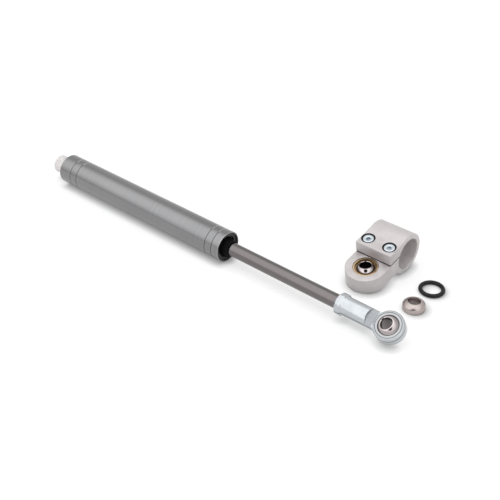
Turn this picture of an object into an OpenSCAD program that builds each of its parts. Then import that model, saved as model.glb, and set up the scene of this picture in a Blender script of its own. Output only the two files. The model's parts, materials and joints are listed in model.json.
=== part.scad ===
// Motorcycle steering damper, with the clamp, spacer and O-ring that come with it.
// Millimetres. The origin is the centre of the tube, on its axis. +X points to the rod end and +Z is up.
// The damper is shown fully extended, lying on its side, with the loose pieces beside it on the same surface.

/* [Damper tube] */
// Outside diameter of the tube
tube_d = 22; // [21:0.5:26]
// Wall of the tube
tube_wall = 1.5; // [1.4:0.1:2.2]
// Step from each rim in to the retaining clip
rim_recess = 1; // [0.6:0.1:2]
// Chamfer on both rims
rim_chamfer = 0.4; // [0.2:0.1:0.8]
// First scribed line, from the rear rim
rear_line_a = 11.8; // [6:0.1:14]
// Second scribed line, from the rear rim
rear_line_b = 18.6; // [15:0.1:25]
// First scribed line, from the front rim
front_line_a = 6; // [4:0.1:8]
// Second scribed line, from the front rim
front_line_b = 12; // [9:0.1:16]
// Width of the scribed lines
line_w = 0.5; // [0.3:0.1:1]
// Depth of the scribed lines
line_depth = 0.2; // [0.1:0.05:0.3]

/* [Glands and seals] */
// Length of each gland
gland_len = 25; // [23:0.5:32]
// Length of each bronze bush
bush_len = 13.5; // [8:0.5:14]
// Wall of each bronze bush
bush_wall = 1.5; // [1:0.1:1.6]
// Width of each rod seal
seal_len = 4; // [3:0.25:5]
// Radial height of each rod seal
seal_wall = 2.2; // [1.8:0.1:2.4]
// Depth of the wiper's pocket in the gland
wiper_seat = 3; // [2:0.25:4]
// Radial height of the wiper's foot
wiper_wall = 1.9; // [1.4:0.1:2]
// How far the front wiper's cone stands out past the rim
wiper_nose = 4.6; // [2:0.1:8]
// Radial thickness of the wiper's lip at its tip
wiper_lip = 0.7; // [0.4:0.1:1]
// Cord thickness of the O-rings round the glands
gland_ring_t = 1.6; // [1.2:0.1:1.8]
// Thickness of the retaining clips
clip_t = 1; // [0.8:0.1:1.4]
// Depth of the clips' grooves in the tube
clip_groove = 0.6; // [0.4:0.05:0.8]
// Radial width of the retaining clips
clip_w = 2.3; // [2:0.1:2.5]
// Opening of the retaining clips
clip_gap = 4; // [2:0.5:6]
// Thickness of the rubber bump stops
bump_t = 3.5; // [2:0.5:6]

/* [Rod and piston] */
// Diameter of the piston rod
rod_d = 9.5; // [9:0.25:10.5]
// Full travel of the rod
stroke = 87.2; // [60:0.1:110]
// Length of the piston
piston_len = 14; // [12:0.5:20]
// Depth of the recess in each end of the piston
piston_recess = 3; // [2.8:0.1:3.5]
// Wall round the piston's recesses
piston_rim = 1.75; // [1.5:0.05:2]
// Width of the piston ring
piston_ring_w = 3; // [2:0.25:4]
// Radial depth of the piston ring
piston_ring_t = 1; // [0.8:0.05:1.2]
// Thickness of the clips that hold the piston on the rod
rod_clip_t = 1; // [0.8:0.1:1.1]
// Depth of these clips' grooves in the rod
rod_clip_groove = 0.4; // [0.3:0.05:0.6]
// How far these clips stand out of the rod
rod_clip_out = 1.3; // [1:0.1:1.5]
// Bore of the rod, for the needle
rod_bore_d = 4.1; // [3.6:0.1:4.4]
// Bore of the needle's seat
needle_seat_d = 1.8; // [1.2:0.1:2.2]
// Bore of the oil ports through the rod
port_d = 1.4; // [1:0.1:1.5]
// Diameter of the threaded stud on the rod's front end
stud_d = 8; // [6:0.5:8]
// Length of this stud
stud_len = 14; // [10:0.5:15]
// Space left between the wiper and the rod end with the rod pushed in
nose_gap = 1.4; // [0.6:0.1:4]

/* [Adjuster] */
// Diameter of the adjuster knob
knob_d = 13.5; // [13:0.25:15]
// Length of the adjuster knob
knob_len = 11.6; // [11:0.2:16]
// Space between the rear rim and the knob
knob_gap = 0.4; // [0.3:0.1:2]
// Number of flutes round the knob
knob_flutes = 24; // [12:1:36]
// Depth of these flutes
flute_depth = 0.35; // [0.2:0.05:0.5]
// Plain length at each end of the knob
knob_plain = 1.6; // [1:0.1:3]
// Chamfer on the knob's ends
knob_chamfer = 0.5; // [0.2:0.1:0.8]
// Thickness of the knob's end wall
knob_end_wall = 5; // [4.5:0.1:7]
// Diameter of the screw that guides the knob on the rod
grub_d = 2.5; // [2:0.25:3]
// Plain length between the knob's front face and that screw
guide_margin = 1; // [0.7:0.1:1.2]
// Depth of the guide groove in the rod
guide_groove = 0.5; // [0.3:0.05:0.7]
// Diameter of the click ball
ball_d = 1.5; // [1.2:0.1:1.6]
// Depth of the click track in the knob
click_track = 0.35; // [0.3:0.05:0.4]
// Number of clicks in a turn
clicks = 12; // [8:1:16]
// From the rod's rear end to the needle's rear land
needle_land = 9; // [8:0.5:12]
// Diameter of the needle's stem
needle_d = 2.8; // [2:0.1:3]
// Length of the needle's taper
needle_taper = 4; // [3:0.25:6]
// Travel of the needle from open to shut
needle_travel = 1.4; // [0.8:0.1:2]
// Diameter of the needle's threaded tail
tail_d = 3; // [2:0.25:3]

/* [Rod end] */
// Bore of the rod end's ball
eye_bore_d = 8; // [6:0.5:8]
// Diameter of the rod end's ball
eye_ball_d = 15.2; // [14.8:0.01:15.6]
// Width of the rod end's ball
eye_ball_w = 12; // [11:0.1:12.4]
// Outside diameter of the eye
eye_d = 20; // [19.6:0.1:24]
// Thickness of the eye
eye_t = 8; // [7:0.25:10]
// Chamfer on the eye's edges
eye_chamfer = 0.8; // [0.4:0.1:1]
// Diameter of the ring round the ball, where it shows
eye_ring_d = 16.6; // [16:0.1:16.8]
// Wall of this ring outside the ball
eye_ring_wall = 0.95; // [0.8:0.05:1.2]
// Distance from the eye's centre to the end of its shank
eye_reach = 37.4; // [32:0.1:42]
// Diameter of the shank
shank_d = 12.6; // [11:0.1:14]
// Diameter of the shank's collar
collar_d = 14.4; // [14:0.1:18]
// Length of this collar
collar_len = 5; // [3:0.25:8]
// Width across the flats on the collar
collar_flats = 13.2; // [12.6:0.1:14]
// Distance from the eye's centre to the step on the shank
eye_step = 15; // [14.2:0.1:17]
// Radius of the hollow between shank and eye
neck_r = 7; // [4:0.5:10]
// Thickness of the milled neck
neck_t = 6.8; // [5:0.1:7]
// How far the eye is rolled round the rod, in degrees
eye_roll = 32; // [0:0.5:40]
// Angle by which the ball is tipped in the eye, towards the tube
eye_tip = 11; // [0:0.5:12]

/* [Clamp] */
// Length of the clamp along the tube
clamp_w = 27.2; // [26.6:0.1:32]
// Wall of the clamp's ring
clamp_wall = 3.4; // [2.6:0.1:5]
// Distance from the tube's centre to the front of the upper jaw
jaw_reach = 20.2; // [19:0.1:22]
// Height of the upper jaw's top above the tube's axis
jaw_top = 14; // [13.6:0.1:14.3]
// Distance from the tube's centre to the bearing's centre
lug_reach = 29; // [28.5:0.1:34]
// Height of the lug's top above the tube's axis
lug_top = 5; // [4:0.1:6]
// Thickness of the lug
lug_t = 11.5; // [10:0.1:14]
// Width of the slit under the upper jaw
slit_w = 0.7; // [0.4:0.1:1.5]
// Radius of the hollow under the lug
lug_fillet = 4; // [1:0.5:6]
// Chamfer on the edges of the ring and jaw
clamp_chamfer = 0.4; // [0.2:0.1:0.8]
// Diameter of the clamp's screws
screw_d = 4; // [3:0.25:4]
// Distance from the tube's centre to the screws
screw_reach = 13.4; // [13.3:0.1:14.5]
// Distance between the screws
screw_spacing = 16.5; // [12:0.1:17]
// Length of the screws under the head
screw_len = 14; // [8:0.5:15]
// Diameter of the screw heads
head_d = 7.6; // [5.5:0.1:8]
// Height of the screw heads
head_h = 4; // [3:0.1:5]
// Width of the sockets across their flats
socket_af = 3; // [2:0.25:4]
// Depth of the sockets
socket_depth = 2; // [1:0.1:2.5]
// Space round each head in its counterbore
head_space = 0.95; // [0.3:0.05:1.1]
// How far each head lies below the jaw's top
head_sink = 0.3; // [0:0.1:1]

/* [Clamp bearing] */
// Bore of the bearing's ball
pivot_bore_d = 8; // [5:0.5:8]
// Diameter of the bearing's ball
pivot_ball_d = 13; // [12:0.1:14]
// Width of the bearing's ball
pivot_ball_w = 9.6; // [8:0.1:9.8]
// Angle by which the clamp's ball is tipped towards the ring
pivot_tip_back = 6.5; // [0:0.5:8]
// Angle by which the clamp's ball is tipped along the ring's axis
pivot_tip_side = 4.5; // [0:0.5:8]
// Outside diameter of the bearing's outer ring
bearing_d = 17; // [15:0.25:17.5]
// Width of the bearing's outer ring
bearing_w = 5; // [4:0.25:6]
// Shoulder that the bearing rests on, measured in from its edge
bearing_shoulder = 1.2; // [0.6:0.1:1.6]
// Depth from the lug's top to the ring that holds the bearing
keeper_sink = 0.4; // [0.2:0.1:1]
// Thickness of this ring
keeper_t = 1; // [0.8:0.1:1.4]
// Radial width of this ring
keeper_w = 1.6; // [1.2:0.1:1.8]
// Depth of its groove in the lug
keeper_groove = 0.4; // [0.3:0.05:0.6]

/* [Spacer and O-ring] */
// Diameter of the spacer
spacer_d = 14.7; // [13:0.1:18]
// Bore of the spacer
spacer_bore_d = 8; // [6:0.5:8]
// Height of the spacer
spacer_h = 6.2; // [5:0.1:8]
// Height of the spacer's straight side
spacer_side = 3.7; // [2:0.1:4]
// Inside diameter of the O-ring
o_ring_bore_d = 12; // [10:0.1:16]
// Cord thickness of the O-ring
o_ring_t = 2.8; // [2:0.05:3]

/* [Places of the loose pieces] */
// Clamp, along the damper
clamp_x = 167.1; // [150:0.1:180]
// Clamp, away from the damper
clamp_y = 68.3; // [60:0.1:90]
// Spacer, along the damper
spacer_x = 206.2; // [190:0.1:230]
// Spacer, away from the damper
spacer_y = 37.6; // [30:0.1:60]
// O-ring, along the damper
o_ring_x = 205.1; // [190:0.1:230]
// O-ring, away from the damper
o_ring_y = 61.1; // [55:0.1:80]

/* [Clearances] */
// Radial clearance of a moving fit
run_fit = 0.05; // [0.02:0.01:0.08]
// Radial clearance of a piece that sits still in its seat
seat_fit = 0.03; // [0.01:0.01:0.05]
// Space between faces that never rub
face_gap = 0.05; // [0.03:0.01:0.2]
// Space left at each end of the piston's travel
end_gap = 0.35; // [0.3:0.05:1]
// Radial space round the rod where nothing touches it
rod_space = 0.4; // [0.3:0.05:0.6]

/* [Hidden] */
$fn = 96;
over = 1;

// Tube
tube_r = tube_d / 2;
tube_bore_r = tube_r - tube_wall;
gland_sink = rim_recess + clip_t + face_gap;
tube_len = stroke + piston_len + 2 * (end_gap + bump_t + gland_len + gland_sink);
half_len = tube_len / 2;
floor_z = -tube_r;

// Glands, in from each rim
rod_r = rod_d / 2;
bush_r = rod_r + run_fit + bush_wall;
seal_r = rod_r + run_fit + seal_wall;
wiper_r = rod_r + run_fit + wiper_wall;
seal_pocket = seal_len + face_gap;
bush_pocket = bush_len + face_gap;
bump_r = tube_bore_r - rod_space;
gland_r = tube_bore_r - seat_fit;
ring_floor_r = tube_bore_r - gland_ring_t - 2 * seat_fit;

// Piston, with its front face just behind the front bump stop
piston_front = half_len - gland_sink - gland_len - bump_t - end_gap;
piston_rear = piston_front - piston_len;
piston_mid = (piston_front + piston_rear) / 2;
piston_r = tube_bore_r - run_fit;
hub_front = piston_front - piston_recess;
hub_rear = piston_rear + piston_recess;
port_in = piston_recess - port_d / 2 - face_gap;

// Rod and rod end
shank_face = half_len + wiper_nose + stroke + nose_gap;
eye_x = shank_face + eye_reach;
stud_r = stud_d / 2;

// Knob and needle
knob_front = -half_len - knob_gap;
knob_rear = knob_front - knob_len;
cup_floor = knob_rear + knob_end_wall;
rod_rear = cup_floor + face_gap;
knob_r = knob_d / 2;
guide_x = knob_front - guide_margin - grub_d / 2;
click_x = rod_rear + 1.6;
rod_bore_r = rod_bore_d / 2;
seat_x = piston_mid;
seat_len = 2;
needle_point_r = 0.3;
needle_entry = (needle_seat_d / 2 - needle_point_r - run_fit) * needle_taper / (needle_d / 2 - needle_point_r);
needle_tip = seat_x - needle_travel + needle_entry;
tail_end = knob_rear + 1.4;
needle_r = needle_d / 2;
guide_land_r = rod_bore_r - run_fit;
land_len = 6;

// Rod end
eye_r = eye_d / 2;
eye_ball_r = eye_ball_d / 2;
eye_race_r = eye_ball_r + run_fit + eye_ring_wall;
eye_ring_r = eye_ring_d / 2;
race_taper = eye_race_r - eye_ring_r;

// Clamp
clamp_bore_r = tube_r + seat_fit;
clamp_r = clamp_bore_r + clamp_wall;
lug_r = clamp_w / 2;
tip_reach = lug_reach + lug_r;
lug_bottom = lug_top - lug_t;
clamp_tilt = asin(clamp_r / norm([tip_reach, lug_bottom])) - atan2(-lug_bottom, tip_reach);
head_seat = jaw_top - head_sink - head_h;
head_r = head_d / 2;
screw_r = screw_d / 2;

// Clamp bearing, down from the lug's top
keeper_top = lug_top - keeper_sink;
race_top = keeper_top - keeper_t - face_gap;
race_bottom = race_top - bearing_w;
bearing_r = bearing_d / 2;
pivot_z = race_top - bearing_w / 2;

// Turned shapes lie along X
module bar(r, x0, x1) {
    translate([x0, 0, 0]) rotate([0, 90, 0]) cylinder(r = r, h = x1 - x0);
}

module ring(r_in, r_out, x0, x1) {
    difference() {
        bar(r_out, x0, x1);
        bar(r_in, x0 - over, x1 + over);
    }
}

module turned(points) {
    rotate([0, 90, 0]) rotate_extrude() polygon(points);
}

// A cord ring round X, with its outside at r_out
module cord_ring(r_out, cord, x) {
    translate([x, 0, 0]) rotate([0, 90, 0])
        rotate_extrude() translate([r_out - cord / 2, 0]) circle(d = cord, $fn = 32);
}

// Bar with a chamfer at both ends
module chamfered_bar(r, x0, x1, c) {
    turned([[0, x0], [r - c, x0], [r, x0 + c], [r, x1 - c], [r - c, x1], [0, x1]]);
}

// Copies at both ends of the tube: the rear one is the front one turned round
module front_end() { children(); }
module rear_end() { rotate([0, 0, 180]) children(); }

module tube() {
    color("#8f9090") difference() {
        chamfered_bar(tube_r, -half_len, half_len, rim_chamfer);
        bar(tube_bore_r, -half_len - over, half_len + over);
        for (side = [-1, 1]) {
            groove_mid = side * (half_len - rim_recess - clip_t / 2);
            bar(tube_bore_r + clip_groove, groove_mid - clip_t / 2 - face_gap / 2,
                groove_mid + clip_t / 2 + face_gap / 2);
        }
        for (x = [-half_len + rear_line_a, -half_len + rear_line_b,
                  half_len - front_line_a, half_len - front_line_b])
            ring(tube_r - line_depth, tube_r + over, x - line_w / 2, x + line_w / 2);
    }
}

// The gland, with its outer face at gland_sink inside the rim
module gland() {
    face = half_len - gland_sink;
    back = face - gland_len;
    ring_x = face - gland_len / 2;
    difference() {
        bar(gland_r, back, face);
        bar(rod_r + rod_space, back - over, face + over);
        bar(wiper_r + seat_fit, face - wiper_seat, face + over);
        bar(seal_r + seat_fit, back - over, back + seal_pocket);
        bar(bush_r + seat_fit, back + seal_pocket - over, back + seal_pocket + bush_pocket);
        ring(ring_floor_r, tube_r, ring_x - gland_ring_t * 0.65, ring_x + gland_ring_t * 0.65);
    }
}

module bush() {
    x0 = half_len - gland_sink - gland_len + seal_pocket;
    ring(rod_r + run_fit, bush_r, x0, x0 + bush_len);
}

// U-shaped lip seal, open to the oil
module rod_seal() {
    x0 = half_len - gland_sink - gland_len;
    difference() {
        ring(rod_r + run_fit, seal_r, x0, x0 + seal_len);
        ring(rod_r + run_fit + seal_wall * 0.35, seal_r - seal_wall * 0.35, x0 - over, x0 + seal_len * 0.5);
    }
}

// Wiper with its foot in the gland and a cone out to nose, measured from the rim
module wiper(nose) {
    foot = half_len - gland_sink - wiper_seat;
    waist = half_len - rim_recess;
    tip = half_len + nose;
    inner = rod_r + run_fit;
    turned([
        [inner, foot], [wiper_r, foot], [wiper_r, waist],
        [inner + wiper_lip + 0.2, tip - 0.5], [inner + wiper_lip, tip], [inner, tip]
    ]);
}

module gland_o_ring() {
    cord_ring(tube_bore_r - seat_fit, gland_ring_t, half_len - gland_sink - gland_len / 2);
}

// Retaining clip, an open ring
module circlip() {
    x0 = half_len - rim_recess - clip_t;
    r_out = tube_bore_r + clip_groove - seat_fit;
    difference() {
        ring(r_out - clip_w, r_out, x0, x0 + clip_t);
        translate([x0 - over, -clip_gap / 2, -tube_r]) cube([clip_t + 2 * over, clip_gap, tube_r]);
    }
}

module bump_stop() {
    x1 = half_len - gland_sink - gland_len;
    turned([
        [rod_r + rod_space, x1 - bump_t], [bump_r - 1, x1 - bump_t],
        [bump_r, x1 - bump_t + 1], [bump_r, x1], [rod_r + rod_space, x1]
    ]);
}

module front_gland() { color("#1b1a1b") front_end() gland(); }
module front_bush() { color("#b08a4c") front_end() bush(); }
module front_rod_seal() { color("#2a2a2c") front_end() rod_seal(); }
module front_wiper() { color("#141314") front_end() wiper(wiper_nose); }
module front_gland_o_ring() { color("#222223") front_end() gland_o_ring(); }
module front_circlip() { color("#2e2d2e") front_end() circlip(); }
module front_bump_stop() { color("#2c2b2b") front_end() bump_stop(); }
module rear_gland() { color("#1b1a1b") rear_end() gland(); }
module rear_bush() { color("#b08a4c") rear_end() bush(); }
module rear_rod_seal() { color("#2a2a2c") rear_end() rod_seal(); }
module rear_wiper() { color("#141314") rear_end() wiper(0); }
module rear_gland_o_ring() { color("#222223") rear_end() gland_o_ring(); }
module rear_circlip() { color("#2e2d2e") rear_end() circlip(); }
module rear_bump_stop() { color("#2c2b2b") rear_end() bump_stop(); }

module piston() {
    groove_r = piston_r - piston_ring_t - seat_fit;
    groove_half = piston_ring_w / 2 + face_gap;
    color("#c9ccd0") difference() {
        bar(piston_r, piston_rear, piston_front);
        bar(rod_r + run_fit, piston_rear - over, piston_front + over);
        bar(piston_r - piston_rim, hub_front, piston_front + over);
        bar(piston_r - piston_rim, piston_rear - over, hub_rear);
        ring(groove_r, tube_r, piston_mid - groove_half, piston_mid + groove_half);
    }
}

module piston_ring() {
    color("#5a4a3a")
        ring(piston_r - piston_ring_t, tube_bore_r - run_fit / 2,
             piston_mid - piston_ring_w / 2, piston_mid + piston_ring_w / 2);
}

// Two clips in the rod's grooves, one at each face of the piston's hub
module piston_clips() {
    r_in = rod_r - rod_clip_groove + seat_fit;
    r_out = rod_r + rod_clip_out;
    color("#4a4a4c") for (x = [hub_front + face_gap, hub_rear - face_gap - rod_clip_t])
        difference() {
            ring(r_in, r_out, x, x + rod_clip_t);
            translate([x - over, -r_in * 0.7, 0]) cube([rod_clip_t + 2 * over, r_in * 1.4, r_out + over]);
        }
}

module piston_rod() {
    color("#85807f") difference() {
        union() {
            chamfered_bar(rod_r, rod_rear, shank_face, 0.3);
            chamfered_bar(stud_r, shank_face - over, shank_face + stud_len, 0.6);
        }
        // Needle bore from the rear, its seat, and the pocket in front of the seat
        bar(rod_bore_r, rod_rear - over, seat_x);
        bar(needle_seat_d / 2, seat_x - over, seat_x + seat_len + over);
        bar(rod_bore_r, seat_x + seat_len, hub_front + port_in + port_d / 2);
        // Oil ports into the piston's two recesses
        for (x = [hub_front + port_in, hub_rear - port_in])
            translate([x, 0, 0]) cylinder(d = port_d, h = 2 * rod_d, center = true);
        // Clip grooves
        for (x = [hub_front + face_gap / 2, hub_rear - face_gap * 1.5 - rod_clip_t])
            ring(rod_r - rod_clip_groove, rod_d, x, x + rod_clip_t + face_gap);
        // Groove for the guide screw, and the pocket of the click ball
        ring(rod_r - guide_groove, rod_d, guide_x - grub_d / 2 - face_gap, guide_x + grub_d / 2 + face_gap);
        translate([click_x, 0, rod_bore_r + 0.4]) cylinder(d = ball_d + 2 * run_fit, h = rod_d);
    }
}

module adjuster_knob() {
    turn = 360 / knob_flutes;
    click_turn = 360 / clicks;
    track_r = rod_r + run_fit + click_track;
    color("#dedbd8") difference() {
        chamfered_bar(knob_r, knob_rear, knob_front, knob_chamfer);
        // Cup over the rod's end, with the click track and its notches
        bar(rod_r + run_fit, cup_floor, knob_front + over);
        bar(track_r, click_x - ball_d / 2 - face_gap, click_x + ball_d / 2 + face_gap);
        for (i = [0 : clicks - 1]) rotate([i * click_turn, 0, 0])
            translate([click_x - ball_d / 2, 0, track_r]) rotate([0, 90, 0]) cylinder(d = 0.7, h = ball_d, $fn = 24);
        // Thread for the needle's tail
        bar(tail_d / 2 + run_fit, knob_rear + 0.8, cup_floor + over);
        // Hole of the guide screw
        translate([guide_x, 0, 0]) rotate([180, 0, 0]) cylinder(d = grub_d + 2 * seat_fit, h = knob_d);
        // Flutes
        for (i = [0 : knob_flutes - 1]) rotate([(i + 0.5) * turn, 0, 0])
            translate([knob_rear + knob_plain, 0, knob_r - flute_depth + 0.6]) rotate([0, 90, 0])
                cylinder(r = 0.6, h = knob_len - 2 * knob_plain - grub_d, $fn = 24);
    }
}

// Guide screw, with its tip in the rod's groove and a slot in its head
module knob_guide_screw() {
    tip_r = rod_r - guide_groove + 2 * face_gap;
    top_r = knob_r - 0.3;
    color("#6d6f72") difference() {
        translate([guide_x, 0, -top_r]) cylinder(d = grub_d, h = top_r - tip_r);
        translate([guide_x - grub_d, -0.25, -top_r - over]) cube([2 * grub_d, 0.5, 0.5 + over]);
    }
}

module detent_ball() {
    color("#c8ccd0") translate([click_x, 0, rod_r + click_track - ball_d / 2]) sphere(d = ball_d, $fn = 32);
}

// The spring under the click ball, as the closed sleeve that it fills
module detent_spring() {
    z0 = rod_bore_r + 0.4 + face_gap;
    z1 = rod_r + click_track - ball_d - face_gap;
    color("#9a9c9f") translate([click_x, 0, z0]) difference() {
        cylinder(d = ball_d - 0.1, h = z1 - z0);
        translate([0, 0, -over]) cylinder(d = ball_d - 0.8, h = z1 - z0 + 2 * over);
    }
}

module needle() {
    land_x = rod_rear + needle_land;
    color("#c2a25a") difference() {
        union() {
            turned([
                [0, needle_tip], [needle_point_r, needle_tip], [needle_r, needle_tip - needle_taper],
                [needle_r, land_x + land_len], [0, land_x + land_len]
            ]);
            bar(guide_land_r, needle_tip - needle_taper - 2 * land_len, needle_tip - needle_taper - land_len);
            bar(guide_land_r, land_x, land_x + land_len);
            bar(tail_d / 2, tail_end, land_x + over);
        }
        ring(guide_land_r - 0.7, rod_d, land_x + land_len / 2 - 0.5, land_x + land_len / 2 + 0.5);
    }
}

module needle_o_ring() {
    color("#222223") cord_ring(guide_land_r, 0.65, rod_rear + needle_land + land_len / 2);
}

// The rod end is drawn with its ball's axis along Z and its shank towards -X, then rolled and moved
module at_eye() {
    translate([eye_x, 0, 0]) rotate([eye_roll, 0, 0]) children();
}

// Half of the profile of a cylinder with chamfered edges, for turning about Z
module drum(r, t, c) {
    rotate_extrude() polygon([
        [0, -t / 2], [r - c, -t / 2], [r, -t / 2 + c], [r, t / 2 - c], [r - c, t / 2], [0, t / 2]
    ]);
}

// Neck turned round X: its hollow touches both the shank and the eye
module neck() {
    side = shank_d / 2;
    hollow_r = side + neck_r;
    hollow_x = -sqrt(pow(eye_r + neck_r, 2) - hollow_r * hollow_r);
    touch = eye_r / (eye_r + neck_r);
    rotate([0, 90, 0]) rotate_extrude() difference() {
        polygon([
            [0, hollow_x - over], [side, hollow_x - over], [side, hollow_x],
            [hollow_r * touch, hollow_x * touch], [0, hollow_x * touch]
        ]);
        translate([hollow_r, hollow_x]) circle(r = neck_r);
    }
}

module rod_end_housing() {
    half = eye_t / 2;
    color("#d3dbe2") at_eye() difference() {
        union() {
            drum(eye_r, eye_t, eye_chamfer);
            // Shank and neck, milled flat round the eye
            difference() {
                union() {
                    bar(shank_d / 2, -eye_reach, -eye_r);
                    neck();
                }
                for (s = [-1, 1]) translate([0, 0, s * (neck_t / 2 + eye_r)])
                    cylinder(r = eye_step, h = 2 * eye_r, center = true);
            }
            // Collar with two flats
            intersection() {
                chamfered_bar(collar_d / 2, -eye_reach, -eye_reach + collar_len, 0.8);
                cube([3 * eye_reach, 2 * collar_d, collar_flats], center = true);
            }
            turned([
                [0, -eye_reach + collar_len - over], [collar_flats / 2, -eye_reach + collar_len - over],
                [collar_flats / 2, -eye_reach + collar_len], [shank_d / 2, -eye_reach + collar_len + 1.6],
                [0, -eye_reach + collar_len + 1.6]
            ]);
        }
        // Seat of the ring, with lips turned in over its tapered edges
        rotate_extrude() polygon([
            [0, -half - over], [eye_ring_r + seat_fit, -half - over], [eye_ring_r + seat_fit, -half],
            [eye_race_r + seat_fit, -half + race_taper], [eye_race_r + seat_fit, half - race_taper],
            [eye_ring_r + seat_fit, half], [eye_ring_r + seat_fit, half + over], [0, half + over]
        ]);
        // Thread for the rod's stud
        bar(stud_r + seat_fit, -eye_reach - over, -eye_reach + stud_len + 1);
    }
}

module rod_end_race() {
    half = eye_t / 2;
    color("#c4c2c0") at_eye() difference() {
        rotate_extrude() polygon([
            [0, -half], [eye_ring_r, -half], [eye_race_r, -half + race_taper],
            [eye_race_r, half - race_taper], [eye_ring_r, half], [0, half]
        ]);
        sphere(r = eye_ball_r + run_fit);
    }
}

// A ball cut flat at both ends, with a bore along Z
module bored_ball(r, w, bore_r) {
    lip = 0.3;
    difference() {
        intersection() {
            sphere(r = r);
            cube([3 * r, 3 * r, w], center = true);
        }
        cylinder(r = bore_r, h = 2 * w, center = true);
        for (s = [-1, 1]) scale([1, 1, s])
            translate([0, 0, w / 2 - lip]) cylinder(r1 = bore_r, r2 = bore_r + 2 * lip, h = 2 * lip);
    }
}

module rod_end_ball() {
    color("#b9b4b4") at_eye() rotate([0, -eye_tip, 0]) bored_ball(eye_ball_r, eye_ball_w, eye_bore_d / 2);
}

// The clamp is drawn with its bore along X and its lug towards -Y, then tilted until it rests
// on its ring and on the end of its lug
module at_clamp() {
    translate([clamp_x, clamp_y, floor_z + clamp_r]) rotate([clamp_tilt, 0, 0]) children();
}

// Side view of the root that joins the lug to the ring, with its hollow running into the ring
module root_view() {
    foot_z = lug_bottom - lug_fillet;
    foot_y = -sqrt(pow(clamp_r + lug_fillet - seat_fit, 2) - foot_z * foot_z);
    difference() {
        polygon([
            [0, lug_top], [-lug_reach - lug_r, lug_top], [-lug_reach - lug_r, lug_bottom], [foot_y, lug_bottom],
            [foot_y * 0.6, foot_z * 0.8], [0, 0]
        ]);
        translate([foot_y, foot_z]) circle(r = lug_fillet);
    }
}

// Plan of the lug, drawn in X and Y, with a round end
module lug_plan() {
    translate([0, -lug_reach]) circle(r = lug_r);
    translate([-lug_r, -lug_reach]) square([2 * lug_r, lug_reach]);
}

// The upper jaw, with a chamfer round its top
module jaw() {
    half_w = clamp_w / 2;
    c = clamp_chamfer;
    intersection() {
        block(clamp_w) polygon([
            [0, lug_top], [0, jaw_top], [-jaw_reach + c, jaw_top], [-jaw_reach, jaw_top - c], [-jaw_reach, lug_top]
        ]);
        rotate([90, 0, 0]) linear_extrude(jaw_reach + over) polygon([
            [-half_w, 0], [half_w, 0], [half_w, jaw_top - c], [half_w - c, jaw_top],
            [c - half_w, jaw_top], [-half_w, jaw_top - c]
        ]);
    }
}

// Turns a view in Y and Z into a block of width w along X
module block(w) {
    rotate([90, 0, 90]) translate([0, 0, -w / 2]) linear_extrude(w) children();
}

module clamp_body() {
    color("#d2cdcd") at_clamp() difference() {
        union() {
            chamfered_bar(clamp_r, -clamp_w / 2, clamp_w / 2, clamp_chamfer);
            jaw();
            intersection() {
                block(clamp_w) root_view();
                translate([0, 0, -clamp_r]) linear_extrude(2 * clamp_r) lug_plan();
            }
        }
        bar(clamp_bore_r, -clamp_w, clamp_w);
        // Slit from the bore to the front, level with the lug's top
        translate([-clamp_w, -jaw_reach - over, lug_top]) cube([2 * clamp_w, jaw_reach, slit_w]);
        for (s = [-1, 1]) translate([s * screw_spacing / 2, -screw_reach, 0]) {
            translate([0, 0, head_seat]) cylinder(r = head_r + head_space, h = head_h + head_sink + over);
            translate([0, 0, lug_top]) cylinder(r = screw_r + 0.2, h = clamp_r);
            translate([0, 0, -clamp_r]) cylinder(r = screw_r + seat_fit, h = clamp_r + lug_top + over);
        }
        translate([0, -lug_reach, 0]) {
            translate([0, 0, race_bottom]) cylinder(r = bearing_r + seat_fit, h = lug_t);
            translate([0, 0, lug_bottom - over]) cylinder(r = bearing_r - bearing_shoulder, h = 2 * lug_t);
            translate([0, 0, race_top + face_gap / 2])
                cylinder(r = bearing_r + keeper_groove, h = keeper_t + face_gap);
        }
    }
}

module clamp_screws() {
    color("#c3ced6") at_clamp() for (s = [-1, 1])
        translate([s * screw_spacing / 2, -screw_reach, head_seat]) difference() {
            union() {
                translate([0, 0, head_h / 2]) drum(head_r, head_h, 0.3);
                translate([0, 0, -screw_len]) cylinder(r1 = screw_r - 0.5, r2 = screw_r, h = 0.5);
                translate([0, 0, -screw_len + 0.5]) cylinder(r = screw_r, h = screw_len);
            }
            translate([0, 0, head_h - socket_depth])
                cylinder(d = socket_af / cos(30), h = socket_depth + over, $fn = 6);
        }
}

module at_pivot() {
    at_clamp() translate([0, -lug_reach, pivot_z]) children();
}

module bearing_race() {
    color("#c9a765") at_pivot() difference() {
        drum(bearing_r, bearing_w, 0.25);
        sphere(r = pivot_ball_d / 2 + run_fit);
    }
}

// Open ring that holds the bearing down
module bearing_keeper() {
    r_out = bearing_r + keeper_groove - seat_fit;
    color("#c9a765") at_clamp() translate([0, -lug_reach, race_top + face_gap]) difference() {
        cylinder(r = r_out, h = keeper_t);
        translate([0, 0, -over]) cylinder(r = r_out - keeper_w, h = keeper_t + 2 * over);
        translate([0, -1.5, -over]) cube([bearing_d, 3, keeper_t + 2 * over]);
    }
}

module clamp_ball() {
    color("#cfc6c4") at_pivot()
        rotate([-pivot_tip_back, -pivot_tip_side, 0]) bored_ball(pivot_ball_d / 2, pivot_ball_w, pivot_bore_d / 2);
}

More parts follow.
